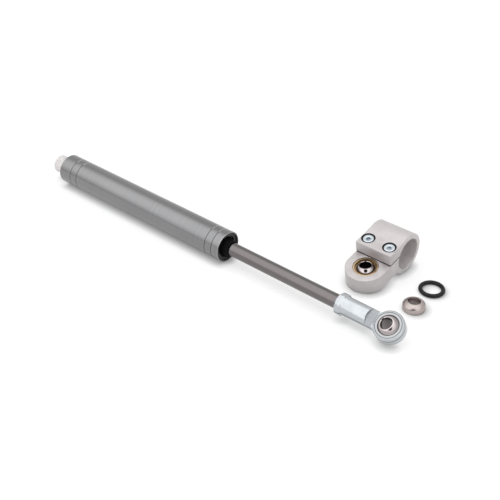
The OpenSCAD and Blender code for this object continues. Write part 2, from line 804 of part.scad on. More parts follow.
// Spacer with a straight side and a domed top round its bore
module spacer() {
    r = spacer_d / 2;
    bore_r = spacer_bore_d / 2;
    rise = spacer_h - spacer_side;
    // Circle through the top of the side and the edge of the bore, that leaves the side at a lean
    dome_r = (pow(r - bore_r, 2) + rise * rise) / (2 * rise) + 2.4;
    chord = norm([r - bore_r, rise]);
    mid = [(r + bore_r) / 2, spacer_side + rise / 2];
    back = sqrt(dome_r * dome_r - chord * chord / 4);
    centre = mid - back / chord * [rise, r - bore_r];
    a0 = atan2(spacer_side - centre[1], r - centre[0]);
    a1 = atan2(spacer_h - centre[1], bore_r - centre[0]);
    steps = 8;
    foot = 0.3;
    color("#a59b99") translate([spacer_x, spacer_y, floor_z]) rotate_extrude() polygon(concat(
        [[bore_r, 0], [r - foot, 0], [r, foot]],
        [for (i = [0 : steps]) let (a = a0 + (a1 - a0) * i / steps) centre + dome_r * [cos(a), sin(a)]]
    ));
}

module loose_o_ring() {
    color("#272526") translate([o_ring_x, o_ring_y, floor_z + o_ring_t / 2])
        rotate_extrude() translate([(o_ring_bore_d + o_ring_t) / 2, 0]) circle(d = o_ring_t, $fn = 48);
}

tube();
front_gland();
front_bush();
front_rod_seal();
front_wiper();
front_gland_o_ring();
front_circlip();
front_bump_stop();
rear_gland();
rear_bush();
rear_rod_seal();
rear_wiper();
rear_gland_o_ring();
rear_circlip();
rear_bump_stop();
piston();
piston_ring();
piston_clips();
piston_rod();
rod_end_housing();
rod_end_race();
rod_end_ball();
adjuster_knob();
knob_guide_screw();
detent_ball();
detent_spring();
needle();
needle_o_ring();
clamp_body();
clamp_screws();
bearing_race();
bearing_keeper();
clamp_ball();
spacer();
loose_o_ring();
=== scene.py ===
"""Looks of a motorcycle steering damper with its clamp, spacer and O-ring.

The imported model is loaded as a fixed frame. Each sub-assembly below is a class that holds its sizes in
millimetres, builds the meshes that are seen from close by and dresses the CAD nodes that stay. The shared
frame has its origin at the centre of the damper tube, +X towards the rod end and +Z up.
"""

import json
import logging
import math
from dataclasses import dataclass, field, replace
from enum import Enum

import bmesh
import bpy
from mathutils import Matrix, Vector

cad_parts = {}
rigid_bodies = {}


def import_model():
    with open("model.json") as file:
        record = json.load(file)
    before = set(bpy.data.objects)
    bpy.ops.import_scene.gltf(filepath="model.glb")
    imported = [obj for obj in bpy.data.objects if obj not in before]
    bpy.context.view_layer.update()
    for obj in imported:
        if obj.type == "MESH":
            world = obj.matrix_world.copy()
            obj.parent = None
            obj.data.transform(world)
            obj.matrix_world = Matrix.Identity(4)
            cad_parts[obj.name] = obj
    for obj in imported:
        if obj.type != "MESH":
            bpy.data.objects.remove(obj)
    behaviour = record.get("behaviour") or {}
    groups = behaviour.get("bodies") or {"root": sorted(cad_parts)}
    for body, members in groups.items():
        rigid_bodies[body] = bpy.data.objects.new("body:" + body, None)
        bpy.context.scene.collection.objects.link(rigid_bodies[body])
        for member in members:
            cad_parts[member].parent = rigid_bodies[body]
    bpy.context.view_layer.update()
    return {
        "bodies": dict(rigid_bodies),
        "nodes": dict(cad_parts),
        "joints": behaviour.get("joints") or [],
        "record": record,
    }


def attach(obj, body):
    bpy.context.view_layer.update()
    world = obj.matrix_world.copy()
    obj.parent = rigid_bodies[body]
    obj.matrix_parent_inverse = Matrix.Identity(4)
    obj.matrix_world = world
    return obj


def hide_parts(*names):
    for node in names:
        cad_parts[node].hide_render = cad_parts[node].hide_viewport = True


log = logging.getLogger("steering_damper")

MM = 0.001
PICTURE = 500
SENSOR_MM = 36.0
# Height of the surface that everything lies on
FLOOR = -11.0
# Play of what runs on a piece, and of what sits in one
RUN_FIT = 0.05
SEAT_FIT = 0.03
# Reach of a zone that has no end on that side, and the usual width of the fade inside its faces
FAR = 500.0
FADE = 0.1
# How far a zone reaches past the face that ends it
PAST = 1.0

Colour = tuple[float, float, float]
Point = tuple[float, float, float]
Profile = list[tuple[float, float]]


# Helpers


def add_node(
    tree: bpy.types.NodeTree, kind: str, settings: dict | None = None, inputs: dict | None = None
) -> bpy.types.Node:
    """Adds a node and fills in its settings and unlinked inputs.

    Args:
        tree: The tree that gets the node.
        kind: Blender's type name of the node.
        settings: Properties of the node, by name.
        inputs: Values of its input sockets, by name or place.

    Returns:
        The new node.
    """
    made = tree.nodes.new(kind)
    for name, value in (settings or {}).items():
        setattr(made, name, value)
    for key, value in (inputs or {}).items():
        made.inputs[key].default_value = value
    return made


def feed(tree: bpy.types.NodeTree, entry: bpy.types.NodeSocket, value: object) -> None:
    """Sets an input socket, or links it.

    Args:
        tree: The tree that holds the node.
        entry: The input socket.
        value: A number or an output socket.
    """
    if isinstance(value, bpy.types.NodeSocket):
        tree.links.new(value, entry)
    else:
        entry.default_value = value


def calculate(tree: bpy.types.NodeTree, operation: str, *values: object) -> bpy.types.NodeSocket:
    """Adds a Math node.

    Args:
        tree: The tree that gets the node.
        operation: Blender's name of the operation.
        values: Its operands, each a number or an output socket.

    Returns:
        The node's output socket.
    """
    made = add_node(tree, "ShaderNodeMath", {"operation": operation})
    for place, value in enumerate(values):
        feed(tree, made.inputs[place], value)
    return made.outputs[0]


def smooth_step(
    tree: bpy.types.NodeTree, value: bpy.types.NodeSocket, low: object, high: object
) -> bpy.types.NodeSocket:
    """Adds a node that rises smoothly from 0 to 1 between two limits.

    Args:
        tree: The tree that gets the node.
        value: The output socket of the value.
        low: The lower limit, a number or an output socket.
        high: The upper limit, a number or an output socket.

    Returns:
        The node's output socket.
    """
    made = add_node(tree, "ShaderNodeMapRange", {"interpolation_type": "SMOOTHSTEP"})
    for name, wanted in (("Value", value), ("From Min", low), ("From Max", high)):
        feed(tree, made.inputs[name], wanted)
    return made.outputs[0]


def add_noise(
    tree: bpy.types.NodeTree,
    place: bpy.types.NodeSocket,
    scale: bpy.types.NodeSocket,
    detail: float,
    roughness: float,
    distortion: float = 0.0,
) -> bpy.types.NodeSocket:
    """Adds a Noise Texture node.

    Args:
        tree: The tree that gets the node.
        place: The output socket of the place.
        scale: The output socket of the scale.
        detail: Octaves of the noise.
        roughness: How strong the finer octaves are.
        distortion: How much the noise is warped.

    Returns:
        The node's output socket.
    """
    values = {"Detail": detail, "Roughness": roughness, "Distortion": distortion}
    made = add_node(tree, "ShaderNodeTexNoise", inputs=values)
    tree.links.new(place, made.inputs["Vector"])
    tree.links.new(scale, made.inputs["Scale"])
    return made.outputs[0]


def add_sockets(tree: bpy.types.NodeTree, inputs: list, outputs: list) -> None:
    """Gives a node group its sockets.

    Args:
        tree: The group.
        inputs: Name, socket type and default value of each input. A default of None is left out.
        outputs: Name and socket type of each output.
    """
    for name, kind, value in inputs:
        made = tree.interface.new_socket(name, in_out="INPUT", socket_type=kind)
        if value is not None:
            made.default_value = value
    for name, kind in outputs:
        tree.interface.new_socket(name, in_out="OUTPUT", socket_type=kind)


def put_in_scene(name: str, data: bpy.types.ID) -> bpy.types.Object:
    """Makes an object and links it to the scene.

    Args:
        name: The object's name.
        data: Its mesh or camera.

    Returns:
        The object.
    """
    made = bpy.data.objects.new(name, data)
    bpy.context.scene.collection.objects.link(made)
    return made


# Surface effects, each a shader node group that several materials use


class Grain(Enum):
    """The small relief of a surface."""

    TURNED = "turned"
    BLASTED = "blasted"
    GROUND = "ground"
    MOULDED = "moulded"


class SurfaceEffects:
    """The shader node groups for the drift of tone, the zones and the kinds of grain."""

    def __init__(self) -> None:
        """Makes each group once."""
        self.drift = self.make_drift()
        self.zone = self.make_zone()
        self.grains = {
            Grain.TURNED: self.make_turned(),
            Grain.BLASTED: self.make_noise_grain("blasted_grain", (3.0, 3.0), 0.6),
            Grain.GROUND: self.make_noise_grain("ground_grain", (4.0, 2.0), 0.6, 0.15, (1.0, 0.12, 0.12)),
            Grain.MOULDED: self.make_noise_grain("moulded_grain", (1.0, 1.0), 0.4),
        }

    @staticmethod
    def new_group(
        name: str, inputs: list, outputs: list
    ) -> tuple[bpy.types.NodeTree, bpy.types.Node, bpy.types.Node]:
        """Makes an empty group.

        Args:
            name: The group's name.
            inputs: Its inputs, as add_sockets takes them.
            outputs: Its outputs, as add_sockets takes them.

        Returns:
            The group, its input node and its output node.
        """
        tree = bpy.data.node_groups.new(name, "ShaderNodeTree")
        add_sockets(tree, inputs, outputs)
        return tree, tree.nodes.new("NodeGroupInput"), tree.nodes.new("NodeGroupOutput")

    def make_drift(self) -> bpy.types.NodeTree:
        """Makes the slow change of tone over a surface, with small smudges in it.

        Returns:
            The group, with a tone and a smudge between 0 and 1.
        """
        tree, source, result = self.new_group(
            "tone_drift",
            [("Vector", "NodeSocketVector", None), ("Patch size", "NodeSocketFloat", 12.0)],
            [("Tone", "NodeSocketFloat"), ("Smudge", "NodeSocketFloat")],
        )
        scale = calculate(tree, "DIVIDE", 1.0, source.outputs["Patch size"])
        fine = calculate(tree, "MULTIPLY", scale, 5.0)
        broad = add_noise(tree, source.outputs["Vector"], scale, 3.0, 0.55)
        small = add_noise(tree, source.outputs["Vector"], fine, 4.0, 0.65, 0.4)
        for noise, name, low, high in ((broad, "Tone", 0.3, 0.7), (small, "Smudge", 0.45, 0.75)):
            tree.links.new(smooth_step(tree, noise, low, high), result.inputs[name])
        return tree

    def make_zone(self) -> bpy.types.NodeTree:
        """Makes the mask of a box, with a short fade inside its faces.

        With Round at 1 the box is over the place along X, the distance from X and the Y there.

        Returns:
            The group, with a mask of 1 inside the box.
        """
        tree, source, result = self.new_group(
            "zone_mask",
            [
                ("Vector", "NodeSocketVector", None),
                ("Centre", "NodeSocketVector", (0.0, 0.0, 0.0)),
                ("Half size", "NodeSocketVector", (1.0, 1.0, 1.0)),
                ("Round", "NodeSocketFloat", 0.0),
                ("Fade", "NodeSocketFloat", FADE),
            ],
            [("Mask", "NodeSocketFloat")],
        )
        flat = add_node(tree, "ShaderNodeVectorMath", {"operation": "MULTIPLY"}, {1: (0.0, 1.0, 1.0)})
        across = add_node(tree, "ShaderNodeVectorMath", {"operation": "LENGTH"})
        parts = add_node(tree, "ShaderNodeSeparateXYZ")
        turned = add_node(tree, "ShaderNodeCombineXYZ")
        place = add_node(tree, "ShaderNodeMix", {"data_type": "VECTOR"})
        away = add_node(tree, "ShaderNodeVectorMath", {"operation": "SUBTRACT"})
        size = add_node(tree, "ShaderNodeVectorMath", {"operation": "ABSOLUTE"})
        inside = add_node(tree, "ShaderNodeVectorMath", {"operation": "SUBTRACT"})
        depth = add_node(tree, "ShaderNodeSeparateXYZ")
        for output, entry in (
            (source.outputs["Vector"], flat.inputs[0]),
            (flat.outputs[0], across.inputs[0]),
            (source.outputs["Vector"], parts.inputs[0]),
            (parts.outputs["X"], turned.inputs["X"]),
            (across.outputs["Value"], turned.inputs["Y"]),
            (parts.outputs["Y"], turned.inputs["Z"]),
            (source.outputs["Round"], place.inputs["Factor"]),
            (source.outputs["Vector"], place.inputs["A"]),
            (turned.outputs[0], place.inputs["B"]),
            (place.outputs["Result"], away.inputs[0]),
            (source.outputs["Centre"], away.inputs[1]),
            (away.outputs[0], size.inputs[0]),
            (source.outputs["Half size"], inside.inputs[0]),
            (size.outputs[0], inside.inputs[1]),
            (inside.outputs[0], depth.inputs[0]),
        ):
            tree.links.new(output, entry)
        nearest = calculate(tree, "MINIMUM", depth.outputs["X"], depth.outputs["Y"])
        nearest = calculate(tree, "MINIMUM", nearest, depth.outputs["Z"])
        tree.links.new(smooth_step(tree, nearest, 0.0, source.outputs["Fade"]), result.inputs["Mask"])
        return tree

    def make_turned(self) -> bpy.types.NodeTree:
        """Makes tool marks round the X axis, both along the sides and on the end faces.

        Returns:
            The group, with a height and a tone between 0 and 1.
        """
        tree, source, result = self.new_group(
            "turned_grain",
            [("Vector", "NodeSocketVector", None), ("Size", "NodeSocketFloat", 0.2)],
            [("Height", "NodeSocketFloat"), ("Tone", "NodeSocketFloat")],
        )
        parts = add_node(tree, "ShaderNodeSeparateXYZ")
        tree.links.new(source.outputs["Vector"], parts.inputs[0])
        beside = calculate(tree, "MULTIPLY", parts.outputs["Y"], parts.outputs["Y"])
        above = calculate(tree, "MULTIPLY", parts.outputs["Z"], parts.outputs["Z"])
        across = calculate(tree, "SQRT", calculate(tree, "ADD", beside, above))
        run = calculate(tree, "ADD", parts.outputs["X"], across)
        place = calculate(tree, "DIVIDE", run, source.outputs["Size"])
        for name, scale, detail, roughness in (("Height", 1.0, 3.0, 0.7), ("Tone", 0.12, 2.0, 0.5)):
            marks = add_node(
                tree,
                "ShaderNodeTexNoise",
                {"noise_dimensions": "1D"},
                {"Scale": scale, "Detail": detail, "Roughness": roughness},
            )
            tree.links.new(place, marks.inputs["W"])
            tree.links.new(marks.outputs[0], result.inputs[name])
        return tree

    def make_noise_grain(
        self,
        name: str,
        details: tuple[float, float],
        roughness: float,
        tone_scale: float = 0.2,
        stretch: Point = (1.0, 1.0, 1.0),
    ) -> bpy.types.NodeTree:
        """Makes a grain of noise.

        Args:
            name: The group's name.
            details: Octaves of the noise, for the height and for the tone.
            roughness: How strong the finer octaves are.
            tone_scale: Scale of the tone's noise, as a share of the height's.
            stretch: A factor for each axis. A small one draws the grain out along that axis.

        Returns:
            The group, with a height and a tone between 0 and 1.
        """
        tree, source, result = self.new_group(
            name,
            [("Vector", "NodeSocketVector", None), ("Size", "NodeSocketFloat", 0.3)],
            [("Height", "NodeSocketFloat"), ("Tone", "NodeSocketFloat")],
        )
        drawn = add_node(tree, "ShaderNodeVectorMath", {"operation": "MULTIPLY"}, {1: stretch})
        tree.links.new(source.outputs["Vector"], drawn.inputs[0])
        scale = calculate(tree, "DIVIDE", 1.0, source.outputs["Size"])
        for output, factor, detail in zip(("Height", "Tone"), (1.0, tone_scale), details):
            size = calculate(tree, "MULTIPLY", scale, factor)
            noise = add_noise(tree, drawn.outputs[0], size, detail, roughness)
            tree.links.new(noise, result.inputs[output])
        return tree


@dataclass(frozen=True)
class Lay:
    """Where a piece's own axes lie in the shared frame, so that its grain can follow them.

    A grain's axis is X. For a piece whose axis is its own Z, upright is true. A tip turns the piece about its
    own X and then its own Y, in degrees, before the roll.
    """

    centre: Point = (0.0, 0.0, 0.0)
    roll: float = 0.0
    upright: bool = False
    tip: tuple[float, float] = (0.0, 0.0)

    def matrix(self) -> Matrix:
        """Gives the matrix from the piece's own frame to the shared frame, in millimetres.

        Returns:
            The matrix.
        """
        turn = Matrix.Rotation(math.radians(self.roll), 4, "X")
        turn = turn @ Matrix.Rotation(math.radians(self.tip[1]), 4, "Y")
        turn = turn @ Matrix.Rotation(math.radians(self.tip[0]), 4, "X")
        if self.upright:
            turn = turn @ Matrix.Rotation(math.radians(-90.0), 4, "Y")
        return Matrix.Translation(self.centre) @ turn

    def vector(self, tree: bpy.types.NodeTree) -> bpy.types.NodeSocket:
        """Adds the nodes that give the place in the piece's own frame, in millimetres.

        Args:
            tree: The material's tree.

        Returns:
            The vector's socket.
        """
        inverse = self.matrix().inverted()
        place = add_node(tree, "ShaderNodeTexCoord")
        mapping = add_node(
            tree,
            "ShaderNodeMapping",
            inputs={
                "Location": inverse.to_translation(),
                "Rotation": inverse.to_euler(),
                "Scale": (1.0 / MM, 1.0 / MM, 1.0 / MM),
            },
        )
        tree.links.new(place.outputs["Object"], mapping.inputs["Vector"])
        return mapping.outputs[0]


@dataclass(frozen=True)
class Zone:
    """A part of a surface with a tone of its own, such as painted shade on the wall of a bore or on a scribed
    line.

    It is a box between two corners in the frame of its lay. A round zone is a box over the place along the
    lay's X axis, the distance from that axis and the Y there.
    """

    lay: Lay
    low: Point
    high: Point
    tone: float
    round: bool = True
    fade: float = FADE

    @classmethod
    def about(
        cls, lay: Lay, inner: float, outer: float, tone: float, near: float = -FAR, far: float = FAR
    ) -> "Zone":
        """Makes a round zone.

        Args:
            lay: Where its axis lies.
            inner: Its inner radius. Below zero, the zone takes in the axis without a fade.
            outer: Its outer radius.
            tone: Its tone, as a factor of the finish's own.
            near: Where it starts along the axis.
            far: Where it ends along the axis.

        Returns:
            The zone.
        """
        return cls(lay, (near, inner, -FAR), (far, outer, FAR), tone)

    def mask(self, tree: bpy.types.NodeTree, effects: SurfaceEffects) -> bpy.types.NodeSocket:
        """Adds the nodes that give the zone's mask to a material.

        Args:
            tree: The material's tree.
            effects: The shared node groups.

        Returns:
            The mask's socket.
        """
        low = Vector(self.low)
        high = Vector(self.high)
        zone = add_node(
            tree,
            "ShaderNodeGroup",
            {"node_tree": effects.zone},
            {
                "Centre": (low + high) / 2.0,
                "Half size": (high - low) / 2.0,
                "Round": float(self.round),
                "Fade": self.fade,
            },
        )
        tree.links.new(self.lay.vector(tree), zone.inputs["Vector"])
        return zone.outputs["Mask"]


@dataclass(frozen=True)
class Finish:
    """A surface finish: two tones, gloss and a grain."""

    name: str
    colour: Colour
    second: Colour
    metallic: float
    roughness: float
    roughness_drift: float = 0.05
    patch: float = 12.0
    grain: Grain = Grain.BLASTED
    grain_size: float = 0.3
    grain_height: float = 0.01
    grain_tone: float = 0.1
    smudge: float = 0.15
    specular: float = 0.5

    def build(
        self, effects: SurfaceEffects, lay: Lay = Lay(), suffix: str = "", zones: tuple[Zone, ...] = ()
    ) -> bpy.types.Material:
        """Makes the material.

        Args:
            effects: The shared node groups.
            lay: Where the piece's axes lie.
            suffix: Added to the name, where a finish is used in more than one lay.
            zones: Parts with a tone of their own, mostly painted shade or a painted highlight.

        Returns:
            The material.
        """
        material = bpy.data.materials.new(self.name + suffix)
        material.use_nodes = True
        tree = material.node_tree
        shader = tree.nodes["Principled BSDF"]
        shader.inputs["Metallic"].default_value = self.metallic
        shader.inputs["Specular IOR Level"].default_value = self.specular
        own_place = lay.vector(tree)
        drift = add_node(tree, "ShaderNodeGroup", {"node_tree": effects.drift}, {"Patch size": self.patch})
        kind = effects.grains[self.grain]
        grain = add_node(tree, "ShaderNodeGroup", {"node_tree": kind}, {"Size": self.grain_size})
        for group in (drift, grain):
            tree.links.new(own_place, group.inputs["Vector"])

        tones = add_node(tree, "ShaderNodeMix", {"data_type": "RGBA"})
        tones.inputs["A"].default_value = (*self.colour, 1.0)
        tones.inputs["B"].default_value = (*self.second, 1.0)
        tree.links.new(drift.outputs["Tone"], tones.inputs["Factor"])
        swing = 2.0 * self.grain_tone
        shade = calculate(tree, "MULTIPLY_ADD", grain.outputs["Tone"], swing, 1.0 - self.grain_tone)
        for zone in zones:
            change = calculate(tree, "MULTIPLY_ADD", zone.mask(tree, effects), zone.tone - 1.0, 1.0)
            shade = calculate(tree, "MULTIPLY", shade, change)
        shaded = add_node(tree, "ShaderNodeVectorMath", {"operation": "SCALE"})
        tree.links.new(tones.outputs["Result"], shaded.inputs[0])
        tree.links.new(shade, shaded.inputs["Scale"])
        tree.links.new(shaded.outputs[0], shader.inputs["Base Color"])

        least = self.roughness - 0.5 * self.roughness_drift
        rough = calculate(tree, "MULTIPLY_ADD", drift.outputs["Smudge"], self.smudge, least)
        rough = calculate(tree, "MULTIPLY_ADD", drift.outputs["Tone"], self.roughness_drift, rough)
        tree.links.new(rough, shader.inputs["Roughness"])

        bump = add_node(tree, "ShaderNodeBump", inputs={"Strength": 1.0, "Distance": self.grain_height * MM})
        tree.links.new(grain.outputs["Height"], bump.inputs["Height"])
        tree.links.new(bump.outputs[0], shader.inputs["Normal"])
        return material


TUBE_GREY = Finish(
    "tube_grey", (0.236, 0.236, 0.239), (0.224, 0.224, 0.228), 1.0, 0.15, patch=40.0,
    grain=Grain.TURNED, grain_size=0.25, grain_height=0.002, grain_tone=0.06, smudge=0.04,
)
GLAND_BLACK = Finish(
    "gland_black", (0.003, 0.0028, 0.003), (0.005, 0.0048, 0.005), 0.0, 0.26,
    grain=Grain.TURNED, grain_size=0.6, grain_height=0.01, grain_tone=0.3, specular=0.12,
)
BRONZE = Finish(
    "bronze", (0.48, 0.3, 0.12), (0.4, 0.24, 0.09), 1.0, 0.45,
    grain=Grain.BLASTED, grain_size=0.25, grain_height=0.01,
)
SEAL_BLACK = Finish(
    "seal_black", (0.0048, 0.0042, 0.0046), (0.0068, 0.006, 0.0064), 0.0, 0.42,
    grain=Grain.MOULDED, grain_size=0.5, grain_height=0.01, grain_tone=0.12, specular=0.26,
)
WIPER_BLACK = Finish(
    "wiper_black", (0.0018, 0.0016, 0.0018), (0.0026, 0.0024, 0.0026), 0.0, 0.5,
    grain=Grain.MOULDED, grain_size=0.5, grain_height=0.01, grain_tone=0.12, specular=0.06,
)
CLIP_STEEL = Finish(
    "clip_steel", (0.03, 0.029, 0.03), (0.045, 0.043, 0.045), 0.6, 0.38,
    grain=Grain.BLASTED, grain_size=0.2, grain_height=0.004,
)
PISTON_METAL = Finish(
    "piston_metal", (0.6, 0.61, 0.63), (0.55, 0.56, 0.58), 1.0, 0.28,
    grain=Grain.TURNED, grain_size=0.3, grain_height=0.004,
)
RING_PLASTIC = Finish(
    "ring_plastic", (0.12, 0.08, 0.05), (0.1, 0.065, 0.04), 0.0, 0.5,
    grain=Grain.MOULDED, grain_size=0.3, grain_height=0.006,
)
ROD_STEEL = Finish(
    "rod_steel", (0.16, 0.146, 0.146), (0.158, 0.143, 0.145), 1.0, 0.12, patch=30.0,
    grain=Grain.GROUND, grain_size=0.12, grain_height=0.0012, grain_tone=0.08, smudge=0.05,
)
ROD_END_ZINC = Finish(
    "rod_end_zinc", (0.475, 0.5, 0.52), (0.435, 0.46, 0.48), 0.8, 0.15, patch=5.0,
    grain=Grain.BLASTED, grain_size=1.6, grain_height=0.02, grain_tone=0.05, smudge=0.08,
)
RACE_STEEL = Finish(
    "race_steel", (0.38, 0.385, 0.39), (0.34, 0.345, 0.35), 1.0, 0.26,
    grain=Grain.TURNED, grain_size=0.3, grain_height=0.004,
)
BALL_STEEL = Finish(
    "ball_steel", (0.52, 0.465, 0.465), (0.47, 0.42, 0.425), 1.0, 0.12, roughness_drift=0.03,
    grain=Grain.GROUND, grain_size=0.3, grain_height=0.0008, grain_tone=0.06, smudge=0.06,
)
KNOB_SILVER = Finish(
    "knob_silver", (0.64, 0.61, 0.61), (0.58, 0.555, 0.555), 0.7, 0.4, patch=6.0,
    grain=Grain.TURNED, grain_size=0.3, grain_height=0.004, grain_tone=0.05,
)
SCREW_ZINC = Finish(
    "screw_zinc", (0.57, 0.615, 0.65), (0.5, 0.55, 0.59), 1.0, 0.3, patch=3.0,
    grain=Grain.BLASTED, grain_size=0.3, grain_height=0.006, grain_tone=0.1, smudge=0.12,
)
NEEDLE_BRASS = Finish(
    "needle_brass", (0.56, 0.38, 0.13), (0.5, 0.33, 0.11), 1.0, 0.25,
    grain=Grain.TURNED, grain_size=0.2, grain_height=0.003,
)
CLAMP_SILVER = Finish(
    "clamp_silver", (0.498, 0.467, 0.469), (0.464, 0.434, 0.438), 0.35, 0.45, patch=9.0,
    grain=Grain.BLASTED, grain_size=0.22, grain_height=0.012, grain_tone=0.1, smudge=0.08,
)
BEARING_GOLD = Finish(
    "bearing_gold", (0.6, 0.46, 0.26), (0.5, 0.34, 0.22), 1.0, 0.25, patch=4.0,
    grain=Grain.TURNED, grain_size=0.4, grain_height=0.002, grain_tone=0.06,
)
SPACER_STEEL = Finish(
    "spacer_steel", (0.45, 0.39, 0.372), (0.385, 0.342, 0.325), 1.0, 0.32, patch=5.0,
    grain=Grain.TURNED, grain_size=0.35, grain_height=0.002, grain_tone=0.05, smudge=0.05,
)

FINISHES = {
    made.name: made
    for made in (
        TUBE_GREY, GLAND_BLACK, BRONZE, SEAL_BLACK, WIPER_BLACK, CLIP_STEEL, PISTON_METAL, RING_PLASTIC,
        ROD_STEEL, ROD_END_ZINC, RACE_STEEL, BALL_STEEL, KNOB_SILVER, SCREW_ZINC, NEEDLE_BRASS,
        CLAMP_SILVER, BEARING_GOLD, SPACER_STEEL,
    )
}


# Shapes made by Geometry Nodes


class Shape:
    """The Geometry Nodes trees, and the steps that turn their result into plain meshes."""

    def __init__(self) -> None:
        """Makes each tree once."""
        self.lathe_tree = self.make_lathe_tree()
        self.cord_tree = self.make_cord_ring_tree()
        self.row_tree = self.make_row_tree()

    @staticmethod
    def new_tree(name: str, inputs: list) -> tuple[bpy.types.NodeTree, bpy.types.Node]:
        """Makes a tree with a geometry input and output.

        Args:
            name: The tree's name.
            inputs: Further inputs, as add_sockets takes them.

        Returns:
            The tree and its input node.
        """
        tree = bpy.data.node_groups.new(name, "GeometryNodeTree")
        add_sockets(
            tree,
            [("Geometry", "NodeSocketGeometry", None), *inputs, ("Surface", "NodeSocketMaterial", None)],
            [("Geometry", "NodeSocketGeometry")],
        )
        return tree, tree.nodes.new("NodeGroupInput")

    @staticmethod
    def close_tree(tree: bpy.types.NodeTree, source: bpy.types.Node, made: bpy.types.NodeSocket) -> None:
        """Ends a tree in Realize Instances and Set Material.

        Args:
            tree: The tree.
            source: Its input node.
            made: The socket that carries the finished geometry.
        """
        real = add_node(tree, "GeometryNodeRealizeInstances")
        dress = add_node(tree, "GeometryNodeSetMaterial")
        result = tree.nodes.new("NodeGroupOutput")
        tree.links.new(made, real.inputs["Geometry"])
        tree.links.new(real.outputs[0], dress.inputs["Geometry"])
        tree.links.new(source.outputs["Surface"], dress.inputs["Material"])
        tree.links.new(dress.outputs[0], result.inputs[0])

    def make_lathe_tree(self) -> bpy.types.NodeTree:
        """Makes the tree that turns a profile round X.

        The profile's points hold the place along X in x, the radius in z, and in y the share of the flutes'
        depth there.

        Returns:
            The tree.
        """
        tree, source = self.new_tree(
            "turned_piece",
            [
                ("Profile points", "NodeSocketInt", 2),
                ("Steps round", "NodeSocketInt", 96),
                ("Flutes", "NodeSocketInt", 0),
                ("Flute depth", "NodeSocketFloat", 0.0),
            ],
        )
        links = tree.links
        rings = calculate(tree, "ADD", source.outputs["Steps round"], 1)
        grid = add_node(tree, "GeometryNodeMeshGrid", inputs={"Size X": 1.0, "Size Y": 1.0})
        links.new(source.outputs["Profile points"], grid.inputs["Vertices X"])
        links.new(rings, grid.inputs["Vertices Y"])
        here = add_node(tree, "ShaderNodeSeparateXYZ")
        links.new(add_node(tree, "GeometryNodeInputPosition").outputs[0], here.inputs[0])
        last = calculate(tree, "SUBTRACT", source.outputs["Profile points"], 1)
        share = calculate(tree, "ADD", here.outputs["X"], 0.5)
        along = calculate(tree, "ROUND", calculate(tree, "MULTIPLY", share, last))
        angle = calculate(tree, "MULTIPLY", calculate(tree, "ADD", here.outputs["Y"], 0.5), 2.0 * math.pi)
        sample = add_node(tree, "GeometryNodeSampleIndex", {"data_type": "FLOAT_VECTOR", "domain": "POINT"})
        links.new(source.outputs["Geometry"], sample.inputs["Geometry"])
        links.new(add_node(tree, "GeometryNodeInputPosition").outputs[0], sample.inputs["Value"])
        links.new(along, sample.inputs["Index"])
        point = add_node(tree, "ShaderNodeSeparateXYZ")
        links.new(sample.outputs["Value"], point.inputs[0])
        wave = calculate(tree, "COSINE", calculate(tree, "MULTIPLY", angle, source.outputs["Flutes"]))
        hollow = calculate(tree, "POWER", calculate(tree, "MULTIPLY_ADD", wave, -0.5, 0.5), 1.6)
        cut = calculate(tree, "MULTIPLY", hollow, source.outputs["Flute depth"])
        cut = calculate(tree, "MULTIPLY", cut, point.outputs["Y"])
        radius = calculate(tree, "SUBTRACT", point.outputs["Z"], cut)
        place = add_node(tree, "ShaderNodeCombineXYZ")
        links.new(point.outputs["X"], place.inputs["X"])
        links.new(calculate(tree, "MULTIPLY", radius, calculate(tree, "SINE", angle)), place.inputs["Y"])
        links.new(calculate(tree, "MULTIPLY", radius, calculate(tree, "COSINE", angle)), place.inputs["Z"])
        move = add_node(tree, "GeometryNodeSetPosition")
        links.new(grid.outputs["Mesh"], move.inputs["Geometry"])
        links.new(place.outputs[0], move.inputs["Position"])
        merge = add_node(tree, "GeometryNodeMergeByDistance", inputs={"Distance": 0.002 * MM})
        links.new(move.outputs[0], merge.inputs["Geometry"])
        self.close_tree(tree, source, merge.outputs[0])
        return tree

    def make_cord_ring_tree(self) -> bpy.types.NodeTree:
        """Makes the tree for a ring of round cord, lying flat.

        Returns:
            The tree.
        """
        tree, source = self.new_tree(
            "cord_ring",
            [("Ring radius", "NodeSocketFloat", 0.01), ("Cord radius", "NodeSocketFloat", 0.001)],
        )
        path = add_node(tree, "GeometryNodeCurvePrimitiveCircle", inputs={"Resolution": 160})
        section = add_node(tree, "GeometryNodeCurvePrimitiveCircle", inputs={"Resolution": 32})
        tree.links.new(source.outputs["Ring radius"], path.inputs["Radius"])
        tree.links.new(source.outputs["Cord radius"], section.inputs["Radius"])
        sweep = add_node(tree, "GeometryNodeCurveToMesh")
        tree.links.new(path.outputs[0], sweep.inputs["Curve"])
        tree.links.new(section.outputs[0], sweep.inputs["Profile Curve"])
        self.close_tree(tree, source, sweep.outputs[0])
        return tree

